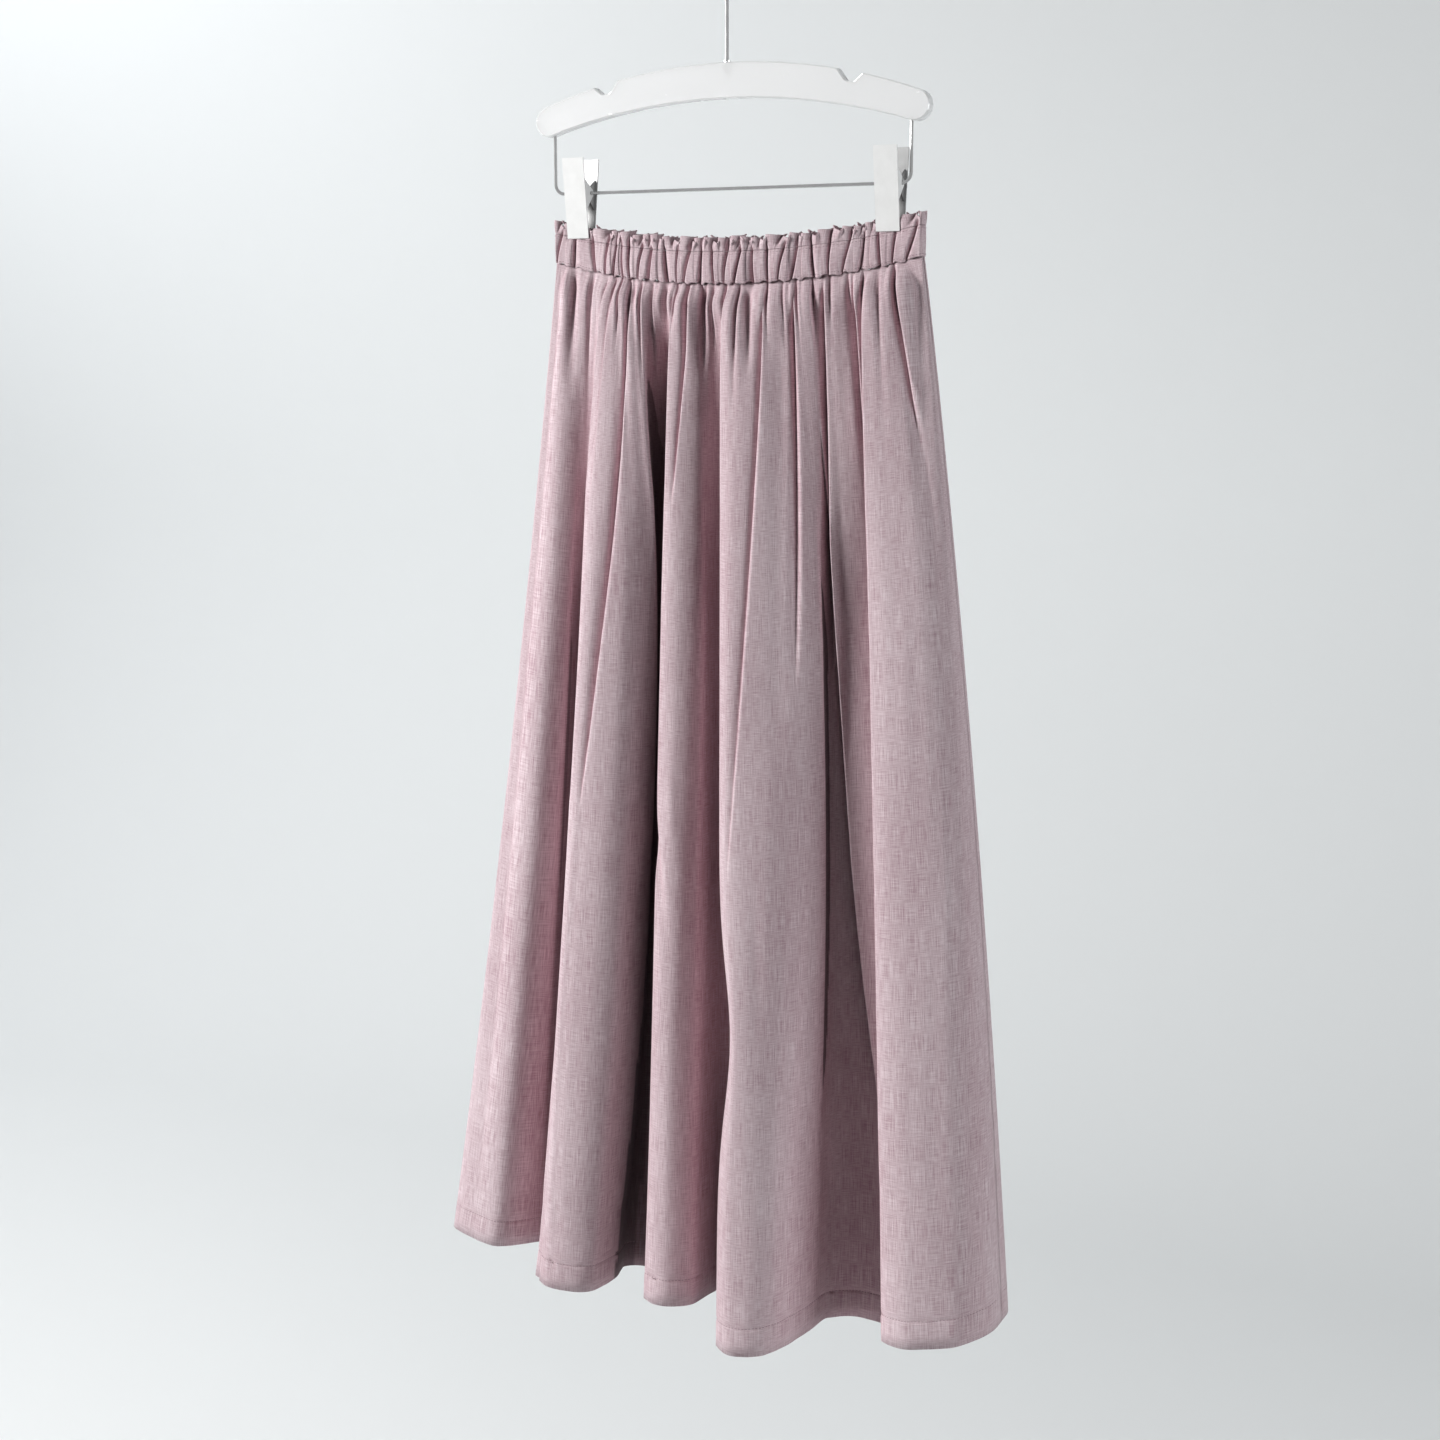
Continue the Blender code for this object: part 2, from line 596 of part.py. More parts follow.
def panel_section(folds, pleats, face, at, t):
    """Plan points (x, y) of one panel at one level; t is 0 at the waist, 1 at the hem."""
    knots = [row[1] for row in folds]
    sign = -1.0 if face == "front" else 1.0
    xs = []
    ys = []
    for name, _, waist_x, hem_x, hem_y, mid_x in folds:
        start_y = 0.0 if name.endswith("seam") else sign * waist_depth(waist_x * MM)
        xs.append((waist_x + (hem_x - waist_x) * t + mid_x * 4 * t * (1 - t)) * MM)
        ys.append(start_y + (hem_y * MM - start_y) * t ** FOLD_GROWTH)
    x = monotone(knots, xs, at)
    y = monotone(knots, ys, at)
    before = np.clip(at - NORMAL_REACH, 0.0, GATHERS)
    after = np.clip(at + NORMAL_REACH, 0.0, GATHERS)
    chord_x = monotone(knots, xs, after) - monotone(knots, xs, before)
    chord_y = monotone(knots, ys, after) - monotone(knots, ys, before)
    # At the side seams the cloth faces straight left or right.
    plain = 1.0 - np.clip(np.minimum(at, GATHERS - at) - 0.5, 0.0, 1.0)
    chord_y += plain * np.where(at < GATHERS / 2, sign, -sign) * 1.0
    size = np.hypot(chord_x, chord_y)
    out_x = chord_y / size
    out_y = -chord_x / size
    growth = 1.0 - math.exp(-(t / 0.035) ** 2)
    end_room = np.clip((waist_depth(x) - WAIST_HALF_GAP) / WAIST_BOW * 3.0, 0.0, 1.0)
    start = GATHER_DEPTH_WAIST * (0.5 + 0.5 * end_room)
    depth = (start + (GATHER_DEPTH_SKIRT - start) * growth) * crease_strength(at, t)
    shape = depth * gather_wave(at, face) + pleat_height(pleats, at, t)
    level = np.clip(-sign * chord_x / size, 0.12, 1.0) ** 1.5
    move = PUFF * growth * (1.0 - 0.5 * t) + shape * level * fade_at_seams(at)
    return x + out_x * move, y + out_y * move


def panel_vertices(folds, pleats, face, columns, t):
    """One row of a panel, held back half a seam gap at its two side edges."""
    at = np.linspace(0.0, GATHERS, columns + 1)
    x, y = panel_section(folds, pleats, face, at, t)
    sign = -1.0 if face == "front" else 1.0
    y[0] += sign * SEAM_GAP / 2
    y[-1] += sign * SEAM_GAP / 2
    waist_x = monotone([row[1] for row in folds], [row[2] * MM for row in folds], at)
    u = across(waist_x)
    top = WAIST_SEAM_Z - SEAM_GAP / 2 - WAIST_SEAM_SAG * (1 - u * u)
    low = HEM_Z - HEM_SAG * (1 - u * u)
    z = top + (low - top) * t
    return list(zip(x, y, z))


def build_panel(name, folds, pleats, face, collection, finish):
    """Panel of cloth from the waist seam to the hem, with a thicker turned-up hem."""
    fine_columns = GATHERS * 4
    coarse_columns = GATHERS * 2
    length = WAIST_SEAM_Z - HEM_Z
    turn_up = 1.0 - HEM_TURN_UP / length
    rows = [(t, fine_columns) for t in FINE_ROWS]
    rows += [(t, coarse_columns) for t in COARSE_ROWS]
    rows += [(turn_up, coarse_columns), (1.0, coarse_columns)]
    vertices = []
    starts = []
    hem = []
    for t, columns in rows:
        starts.append(len(vertices))
        vertices += panel_vertices(folds, pleats, face, columns, t)
        if t >= turn_up:
            hem += range(starts[-1], len(vertices))
    faces = []
    for row in range(len(rows) - 1):
        upper = starts[row]
        lower = starts[row + 1]
        if rows[row][1] == rows[row + 1][1]:
            for j in range(rows[row][1]):
                faces.append((upper + j, lower + j, lower + j + 1, upper + j + 1))
        else:
            for j in range(coarse_columns):
                middle = upper + 2 * j + 1
                faces.append((lower + j, lower + j + 1, middle))
                faces.append((lower + j, middle, upper + 2 * j))
                faces.append((lower + j + 1, upper + 2 * j + 2, middle))
    return cloth_wall(name, vertices, faces, HEM_WALL, PANEL_WALL / HEM_WALL, hem,
                      collection, finish)


def cloth_wall(name, vertices, faces, wall, thin_part, thick, collection, finish):
    """Give a sheet of points its thickness; only the listed points have all of it."""
    mesh = bpy.data.meshes.new(name)
    mesh.from_pydata(vertices, [], faces)
    mesh.shade_smooth()
    cloth = add_object(name, mesh, collection, finish)
    solid = cloth.modifiers.new("wall", "SOLIDIFY")
    solid.thickness = wall
    solid.offset = 0.0
    solid.use_even_offset = True
    if thin_part < 1.0:
        group = cloth.vertex_groups.new(name="thick")
        group.add(list(thick), 1.0, "REPLACE")
        solid.vertex_group = "thick"
        solid.thickness_vertex_group = thin_part
    return cloth


def waist_ring(columns):
    """Closed ring of places round the waist: gather number, face, x and depth."""
    places = []
    for face, folds in (("front", FRONT_FOLDS), ("back", BACK_FOLDS)):
        knots = [row[1] for row in folds]
        at = np.linspace(0.0, GATHERS, columns + 1)[:-1]
        x = monotone(knots, [row[2] * MM for row in folds], at)
        sign = -1.0 if face == "front" else 1.0
        depth = []
        for row in folds:
            seam = row[0].endswith("seam")
            depth.append(0.0 if seam else sign * waist_depth(row[2] * MM))
        places.append((face, sign, at, x, monotone(knots, depth, at)))
    return places


def clip_room(x):
    """0 where a clip presses the waist flat, 1 away from the clips."""
    room = np.ones_like(x)
    for centre in CLIP_X.values():
        away = (np.abs(x - centre) - CLIP_WIDTH / 2) / CLIP_FLAT
        room = np.minimum(room, np.clip(away + 0.2, 0.0, 1.0))
    return room


def build_waist_ring(name, levels, wall, collection, finish):
    """Ring of the waist. A level is (height part, wave depth, lift of the wave)."""
    columns = GATHERS * 3
    rows = []
    for height, wave_depth, lift in levels:
        row = []
        for face, sign, at, x, y in waist_ring(columns):
            u = across(x)
            top = WAIST_TOP_Z - WAIST_TOP_SAG * (1 - u * u)
            low = WAIST_SEAM_Z + SEAM_GAP / 2 - WAIST_SEAM_SAG * (1 - u * u)
            room = clip_room(x) * fade_at_seams(at)
            ends = np.clip((np.abs(y) - 0.5 * WAIST_HALF_GAP) / (2 * WAIST_HALF_GAP), 0.3, 1.0)
            wave = gather_wave(at, face) * wave_depth * room * ends
            z = top + (low - top) * height + lift * room * np.sin(4.4 * at)
            row += list(zip(x, y + sign * wave, z))
        rows.append(row)
    count = len(rows[0])
    vertices = [point for row in rows for point in row]
    faces = []
    for level in range(len(rows) - 1):
        for j in range(count):
            k = (j + 1) % count
            upper = level * count
            lower = upper + count
            faces.append((upper + j, lower + j, lower + k, upper + k))
    return cloth_wall(name, vertices, faces, wall, 1.0, [], collection, finish)


def build_waist(collection, finish):
    """Casing of the elastic, and the ruffled heading that stands above it."""
    height = WAIST_TOP_Z - WAIST_SEAM_Z
    edge = HEADING_HEIGHT / height
    gap = SEAM_GAP / 2 / height
    build_waist_ring("waist_heading", (
        (0.0, RUFFLE_DEPTH, RUFFLE_LIFT),
        (edge * 0.5, RUFFLE_DEPTH * 0.6, RUFFLE_LIFT * 0.3),
        (edge - gap, GATHER_DEPTH_WAIST, 0.0),
    ), HEADING_WALL, collection, finish)
    build_waist_ring("waist_casing", (
        (edge + gap, GATHER_DEPTH_WAIST, 0.0),
        ((1.0 + edge) / 2, GATHER_DEPTH_WAIST * 1.5, 0.0),
        (1.0, GATHER_DEPTH_WAIST, 0.0),
    ), CASING_WALL, collection, finish)


def main():
    clear_scene()
    skirt = new_collection(COLLECTION_NAME)
    cutters = new_collection("cutters")
    linen = material("linen", LINEN_COLOUR, 0.85, 0.0)
    clear = material("clear_plastic", CLEAR_COLOUR, 0.08, 0.0)
    steel = material("steel_wire", STEEL_COLOUR, 0.28, 1.0)
    plated = material("plated_steel", CLIP_COLOUR, 0.35, 1.0)

    build_hook(skirt, steel)
    build_ferrule(skirt, steel)
    build_bar(skirt, cutters, clear)
    build_rail(skirt, steel)
    for side in CLIP_X:
        for face in ("front", "back"):
            build_plate(side, face, skirt, cutters, plated)
        build_spring(side, skirt, steel)
    build_waist(skirt, linen)
    build_panel("skirt_front", FRONT_FOLDS, FRONT_PLEATS, "front", skirt, linen)
    build_panel("skirt_back", BACK_FOLDS, BACK_PLEATS, "back", skirt, linen)


main()
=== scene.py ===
"""Gathered linen maxi skirt on a clear clip hanger: the cloth, its sewing, the metal and the stage."""

import math

import bpy
import numpy as np
from mathutils import Matrix, Vector


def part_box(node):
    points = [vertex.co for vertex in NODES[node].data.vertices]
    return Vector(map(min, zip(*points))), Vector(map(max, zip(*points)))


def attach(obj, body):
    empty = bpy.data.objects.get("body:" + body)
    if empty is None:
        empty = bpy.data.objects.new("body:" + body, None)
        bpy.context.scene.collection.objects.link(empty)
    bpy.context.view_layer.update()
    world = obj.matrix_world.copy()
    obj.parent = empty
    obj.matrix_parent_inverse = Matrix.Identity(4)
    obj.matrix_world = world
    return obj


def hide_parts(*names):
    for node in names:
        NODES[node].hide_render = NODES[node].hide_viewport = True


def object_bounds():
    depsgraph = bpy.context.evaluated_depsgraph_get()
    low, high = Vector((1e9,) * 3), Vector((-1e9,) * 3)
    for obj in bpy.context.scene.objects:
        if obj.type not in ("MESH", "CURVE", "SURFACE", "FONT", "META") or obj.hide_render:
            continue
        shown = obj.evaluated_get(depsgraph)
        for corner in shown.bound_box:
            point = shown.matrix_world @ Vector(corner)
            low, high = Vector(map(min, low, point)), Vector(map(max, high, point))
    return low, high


bl_info = {
    "name": "Maxi Skirt On Hanger",
    "version": (1, 0, 0),
    "blender": (4, 5, 0),
    "location": "3D View > Sidebar > Skirt",
    "description": "Builds the finish of a gathered linen skirt that hangs from two clips",
    "category": "Object",
}

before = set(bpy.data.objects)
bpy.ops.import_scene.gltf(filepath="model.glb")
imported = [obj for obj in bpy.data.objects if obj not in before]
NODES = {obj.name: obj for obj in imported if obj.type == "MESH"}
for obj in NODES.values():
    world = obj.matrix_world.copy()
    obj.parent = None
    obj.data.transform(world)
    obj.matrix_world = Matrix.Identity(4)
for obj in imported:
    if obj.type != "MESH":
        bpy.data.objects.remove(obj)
CAD_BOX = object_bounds()
MM = 0.001

# Waist and hem, in metres.
WAIST_LEFT_X = -158.0 * MM
WAIST_RIGHT_X = 171.5 * MM
WAIST_TOP_Z = -224.5 * MM
WAIST_TOP_SAG = 18.0 * MM
HEADING_HEIGHT = 10.0 * MM
WAIST_SEAM_Z = -259.0 * MM
WAIST_SEAM_SAG = 19.5 * MM
WAIST_HALF_GAP = 2.8 * MM
WAIST_BOW = 12.0 * MM
HEM_Z = -1147.0 * MM
HEM_SAG = 27.0 * MM
HEM_TURN_UP = 24.0 * MM
SEAM_GAP = 0.3 * MM

# Places of the sewing, as parts of a panel's length and of the waist's height.
HEM_STITCH = 1.0 - HEM_TURN_UP / (WAIST_SEAM_Z - HEM_Z)
WAIST_HEIGHT = WAIST_TOP_Z - WAIST_SEAM_Z
HEADING_PART = HEADING_HEIGHT / WAIST_HEIGHT

# Gathers, pleats and ruffle. Depths are in metres, reaches in gathers.
GATHERS = 28
GATHER_DEPTH_WAIST = 1.1 * MM
GATHER_DEPTH_SKIRT = 5.2 * MM
GATHER_SHIFT = 0.22
PANEL_SHARPNESS = 11
CASING_SHARPNESS = 20
CASING_DEPTH = 3.8 * MM
RUFFLE_DEPTH = 6.5 * MM
RUFFLE_LIFT = 2.4 * MM
RUFFLE_CURL = 2.2 * MM
# Part of the painted fold shade taken off at the heading's ruffled edge.
RUFFLE_SHADE_LIFT = 0.6
HEADING_LAYERS = 2.2
HEM_PUCKER = 1.1 * MM
PUFF = 6.0 * MM
FOLD_GROWTH = 0.8
NORMAL_REACH = 0.9
PLEAT_SOFTNESS = 0.05
TALL_RIDGE = 8.0
SHOULDER_SOFTNESS = 0.22
PLEAT_REST = 1.5 * MM
MIDDLE_AT_HEM = 49.0 * MM
# Reach and limits of the openness that sets the linen's painted fold shade.
OPEN_REACH = 120.0 * MM
SAME_POINT = 0.4 * MM
SIDE_COLUMNS = 24.0
SLIT_WIDTH = 0.12
CLIP_FLAT = 2.5 * MM
CASING_WALL = 1.0 * MM


def node_middle_x(name):
    """Middle of a node across the hanger."""
    low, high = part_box(name)
    return (low[0] + high[0]) / 2


CLIP_X = {side: node_middle_x("clip_" + side + "_front") for side in ("left", "right")}
CLIP_WIDTH = 20.0 * MM

# The cut of the cloth: both panels flare from the waist to the hem.
CUT_WIDTH = 0.96
CUT_LENGTH = 0.915
WAIST_CLOTH = 0.04
BACK_CLOTH_START = 1.37

# Fineness of the cloth: columns in a gather of the panels and of the waist, and
# rows of the panels, the casing and the heading.
COLUMNS_A_GATHER = 14
RING_COLUMNS = 26
PANEL_ROWS = 98
CASING_ROWS = 16
HEADING_ROWS = 12

WEAVE_NAME = "plain weave with slubs"
LINEN_NAME = "dusty rose linen"

# Stage, in metres.
FLOOR_DROP = 0.55
WALL_Y = 2.6
WALL_TOP = 3.2
SWEEP_RADIUS = 1.1
SWEEP_STEPS = 12
MIRRORED_ROOM = 0.7
CAMERA_PLACE = (0.766, -1.656, -0.329)
CAMERA_LENS = 54.2

# Fold lines of the front, from the left seam to the right one, in mm: place
# along the waist in gathers, then where the line starts, ends and swings to.
FRONT_FOLDS = (
    # name              at  waist_x  hem_x  hem_y  mid_x
    ("left seam",      0.0,    -158,  -280,     6,     6),
    ("left side",     0.34,    -158,  -280,    -6,     6),
    ("lobe 1 crest",   1.8,    -143,  -231,   -20,     5),
    ("valley 1 in",    2.8,    -125,  -200,    18,     4),
    ("valley 1 out",   3.3,    -116,  -186,    33,     3),
    ("lobe 2 edge",    4.0,    -107,  -169,   -43,     8),
    ("lobe 2 crest",   5.4,     -95,  -140,   -53,     0),
    ("lobe 2 right",   6.8,     -86,  -115,   -41,     7),
    ("lobe 2 flank",   7.8,     -75,  -112,    -6,    11),
    ("valley 2 in",    8.8,     -64,  -118,    22,    12),
    ("valley 2 out",   9.7,     -54,   -96,    35,     6),
    ("lobe 3 edge",   10.5,     -42,   -73,   -19,     3),
    ("lobe 3 crest",  11.5,     -33,   -50,   -26,     1),
    ("lobe 3 right",  12.6,     -20,   -30,   -13,     0),
    ("valley 3 in",   13.6,      -9,   -22,    22,     0),
    ("valley 3 out",  14.3,      -1,    -8,    34,     2),
    ("lobe 4 edge",   15.0,       7,    21,   -67,     4),
    ("lobe 4 crest",  16.2,      21,    48,   -86,     0),
    ("lobe 4 right",  17.6,      38,    70,   -75,     3),
    ("lobe 4 flank",  19.2,      58,    85,   -34,    12),
    ("valley 4 in",   20.6,      75,    93,     3,    13),
    ("valley 4 out",  22.0,      95,   122,    13,     9),
    ("lobe 5 foot",   23.0,     110,   156,    -2,     9),
    ("lobe 5 edge",   23.6,     117,   159,   -24,     6),
    ("lobe 5 crest",  24.8,     133,   188,   -42,     6),
    ("lobe 5 right",  26.2,     151,   226,   -31,     9),
    ("right side",   27.66,     171,   251,     4,     8),
    ("right seam",    28.0,     171,   251,    16,     8),
)

# Fold lines of the back, from the right seam to the left one.
BACK_FOLDS = (
    # name               at  waist_x  hem_x  hem_y  mid_x
    ("right seam",      0.0,     171,   251,    16,     8),
    ("right side",     0.34,     171,   251,    28,     7),
    ("lobe 6 crest",    2.2,     152,   214,    88,     3),
    ("lobe 6 left",     3.8,     134,   190,   100,     3),
    ("valley 6",        5.4,     114,   160,    64,     0),
    ("lobe 7 edge",     7.0,      95,   134,   112,     0),
    ("lobe 7 crest",    8.4,      78,   108,   126,     0),
    ("lobe 7 flank",    9.8,      61,    84,    96,     0),
    ("valley 7",       11.2,      45,    62,    66,     0),
    ("lobe 8 edge",    12.6,      28,    40,   106,     0),
    ("lobe 8 crest",   13.8,      13,    14,   118,     0),
    ("lobe 8 flank",   15.2,      -5,   -12,    92,     0),
    ("valley 8",       16.6,     -23,   -36,    70,     0),
    ("lobe 9 edge",    18.2,     -42,   -58,   114,     0),
    ("lobe 9 crest",   19.6,     -60,   -88,   128,     0),
    ("lobe 9 flank",   21.0,     -76,  -114,    98,     0),
    ("valley 9",       22.4,     -93,  -142,    68,     0),
    ("lobe 10 edge",   23.8,    -110,  -170,   108,     1),
    ("lobe 10 crest",  25.2,    -128,  -212,   100,     3),
    ("lobe 10 left",   26.6,    -146,  -252,    58,     5),
    ("left side",     27.66,    -158,  -280,    18,     6),
    ("left seam",      28.0,    -158,  -280,     6,     6),
)

# Pleats and shoulders. "lip" is the side of the steep edge, crisp at the left and
# soft at the right. "rise" is the height of the edge and "drop" the depth of the
# crease beside it, in mm. Places and the reaches "face" and "crease" are in
# gathers, and the levels "top" and "end" are parts of the length.
FRONT_PLEATS = (
    # name           lip      at_top    top  at_end   end  rise  drop  face  crease
    ("side fold",    "left",     1.5,  0.01,    1.2, 0.20,  1.2,  3.0,  0.9,   0.30),
    ("shoulder 1",   "right",    2.7,  0.18,    2.8, 0.95, 11.0,  4.0,  1.4,   0.45),
    ("small fold 1", "left",     2.9,  0.01,    3.0, 0.10,  1.2,  3.0,  0.6,   0.25),
    ("edge 2",       "left",     4.1,  0.01,   4.45, 1.30,  4.0, 13.0,  1.4,   0.40),
    ("narrow fold",  "left",     4.9,  0.01,    4.9, 0.20,  2.0,  5.0,  0.6,   0.25),
    ("wedge slit",   "left",     7.2,  0.02,    5.4, 0.50,  4.0, 18.0,  1.1,   0.42),
    ("shoulder 2",   "right",    8.5,  0.02,    8.7, 0.92, 34.0,  4.0,  3.0,   0.50),
    ("edge 3",       "left",    10.8,  0.01,   10.6, 1.30,  6.0, 24.0,  1.6,   0.50),
    ("sliver",       "left",    12.3,  0.01,   11.3, 0.20,  2.8, 12.0,  0.8,   0.20),
    ("shoulder 3",   "right",   13.2,  0.12,   13.2, 0.80,  5.0,  0.0,  1.6,   0.60),
    ("edge 4",       "left",    15.2,  0.01,  15.25, 1.30,  5.0, 30.0,  1.8,   0.60),
    ("thin ridge",   "left",    17.9,  0.01,   16.0, 0.54,  3.4,  8.0,  1.2,   0.35),
    ("face 3",       "right",   19.3,  0.00,   18.4, 0.36,  5.0,  0.0,  1.2,   0.30),
    ("ridge 4",      "left",    19.8,  0.01,   18.8, 0.36,  4.0, 14.0,  1.3,   0.38),
    ("shoulder 4",   "right",   20.4,  0.17,   19.9, 0.80, 14.0,  6.0,  1.6,   0.40),
    ("face 4",       "right",   21.3,  0.00,   20.6, 0.36,  9.0,  0.0,  1.4,   0.30),
    ("ridge 5 top",  "left",    21.7, 0.005,   21.0, 0.36,  3.0, 20.0,  1.2,   0.45),
    ("ridge 5",      "left",    20.9,  0.12,   22.8, 0.84, 16.0, 10.0,  0.9,   0.35),
    ("face 5",       "right",   23.0,  0.00,   23.4, 0.36,  7.0,  0.0,  1.4,   0.30),
    ("pocket",       "left",    23.4, 0.005,   23.8, 0.34,  3.0, 20.0,  1.0,   0.50),
    ("edge 5",       "left",    24.0,  0.01,  23.85, 1.30,  5.0, 20.0,  1.8,   0.60),
    ("side pleat",   "left",    26.0, 0.005,   26.9, 0.24,  2.0, 10.0,  0.9,   0.42),
)

# Hollows between the folds, "deep" in mm, with their reach to the left and right.
FRONT_HOLLOWS = (
    # name             at_top   top  at_end   end  deep  left  right
    ("under lobe 1",      3.0, 0.01,    3.1, 0.90,  3.0, 0.90,  0.60),
    ("crease 2",          1.0, 0.00,    1.1, 0.09,  6.0, 0.30,  0.25),
    ("crease 3",          2.0, 0.00,    2.2, 0.12,  8.0, 0.30,  0.25),
    ("crease 7",          7.4, 0.00,    7.6, 0.07,  7.0, 0.30,  0.25),
    ("behind tent",       9.5, 0.03,   10.1, 1.10,  8.0, 0.90,  0.60),
    ("left of edge 3",    9.9, 0.00,   10.2, 0.40, 10.0, 0.55,  0.25),
    ("crease 13",        13.3, 0.00,   13.1, 0.08,  9.0, 0.30,  0.25),
    ("crease 17",        16.6, 0.00,   16.9, 0.08,  8.0, 0.30,  0.25),
    ("left of edge 4",   14.4, 0.02,   14.6, 1.10,  8.0, 1.20,  0.50),
    ("right of ridge",   18.8, 0.02,   17.9, 0.45,  6.0, 0.70,  0.50),
    ("shade 5",          23.1, 0.12,   23.1, 1.00, 12.0, 0.50,  0.40),
    ("side shade",       27.1, 0.02,   27.3, 0.30,  2.5, 0.60,  0.40),
)
BACK_HOLLOWS = (
    # name           at_top   top  at_end   end  deep  left  right
    ("back shade 1",    4.4, 0.02,    5.0, 0.75,  7.0, 0.80,  0.45),
    ("back shade 2",   10.3, 0.02,   10.9, 0.75,  7.0, 0.90,  0.45),
    ("back shade 3",   15.6, 0.02,   16.1, 0.75,  8.0, 0.80,  0.45),
    ("back shade 4",   21.5, 0.02,   22.0, 0.75,  7.0, 0.90,  0.45),
)
BACK_PLEATS = (
    # name           lip     at_top   top  at_end   end  rise  drop  face  crease
    ("back pleat 1", "left",    2.9, 0.01,    2.6, 0.40,  2.8,  4.0,  1.2,   0.50),
    ("back pleat 2", "left",    4.9, 0.02,    5.3, 0.90,  3.0,  5.5,  1.3,   0.70),
    ("back pleat 3", "left",    7.4, 0.01,    7.0, 0.48,  2.8,  4.0,  1.2,   0.50),
    ("back pleat 4", "left",   10.8, 0.02,   11.2, 0.92,  3.2,  5.5,  1.4,   0.60),
    ("back pleat 5", "left",   13.1, 0.01,   12.6, 0.30,  2.4,  3.4,  0.9,   0.50),
    ("back pleat 6", "left",   16.1, 0.02,   16.6, 0.94,  3.2,  6.0,  1.4,   0.70),
    ("back pleat 7", "left",   18.9, 0.01,   18.2, 0.55,  2.8,  4.2,  1.2,   0.50),
    ("back pleat 8", "left",   22.0, 0.02,   22.4, 0.92,  3.0,  5.5,  1.3,   0.60),
    ("back pleat 9", "left",   25.0, 0.01,   24.6, 0.35,  2.6,  3.4,  1.0,   0.50),
)

# Soft creases of use, placed one by one: place in gathers, drop from the waist as
# a part of the length, then in mm and degrees. The lean is from upright.
FRONT_CREASES = (
    #  at   drop  long  wide  lean  deep
    (10.9,  0.54,  120,    6,   13, -3.0),
    (26.7,  0.90,   70,    4,   28,  1.6),
    (11.6,  0.50,   80,    8,   10,  1.0),
    ( 5.2,  0.93,   34,    5,   38, -1.3),
    ( 4.9,  0.97,   26,    4,   46, -1.1),
    ( 6.0, 0.955,   22,    4,  -30, -0.9),
    (12.0,  0.95,   38,    5,   42, -1.3),
    (11.2, 0.975,   24,    4,   50, -1.0),
    (16.6,  0.90,   60,    8,    8, -1.0),
    (24.6,  0.86,   90,    9,   -5, -1.0),
    (25.6,  0.90,   70,    9,    6,  0.9),
    ( 1.2,  0.80,  120,    9,   -4, -1.2),
    (24.2,  0.30,  160,   10,    3, -1.2),
    (25.3,  0.38,  140,   10,   -4,  1.0),
    (17.2,  0.62,  120,    9,    4, -1.0),
)
BACK_CREASES = (
    #  at  drop  long  wide  lean  deep
    ( 3.1, 0.60,  110,    9,   -9, -1.4),
    ( 8.6, 0.92,   40,    5,   40, -1.2),
    ( 9.2, 0.96,   24,    4,   48, -1.0),
    (13.9, 0.74,  120,    9,    6, -1.2),
    (19.2, 0.93,   36,    5,  -42, -1.2),
    (19.8, 0.52,  120,   10,   -5,  1.0),
    (25.0, 0.86,   80,    9,    8, -1.2),
)

# Shallow ripples: waves in a gather, drift and sway on the way down, and start.
RIPPLES = (
    (0.41, 1.3, 2.3, 0.4),
    (0.73, -1.9, 3.1, 1.9),
    (1.6, 3.6, 5.4, 3.3),
)

SIDES = (
    ("front", FRONT_FOLDS, FRONT_PLEATS, FRONT_HOLLOWS, FRONT_CREASES),
    ("back", BACK_FOLDS, BACK_PLEATS, BACK_HOLLOWS, BACK_CREASES),
)


# Sizes and colours that a user may change.

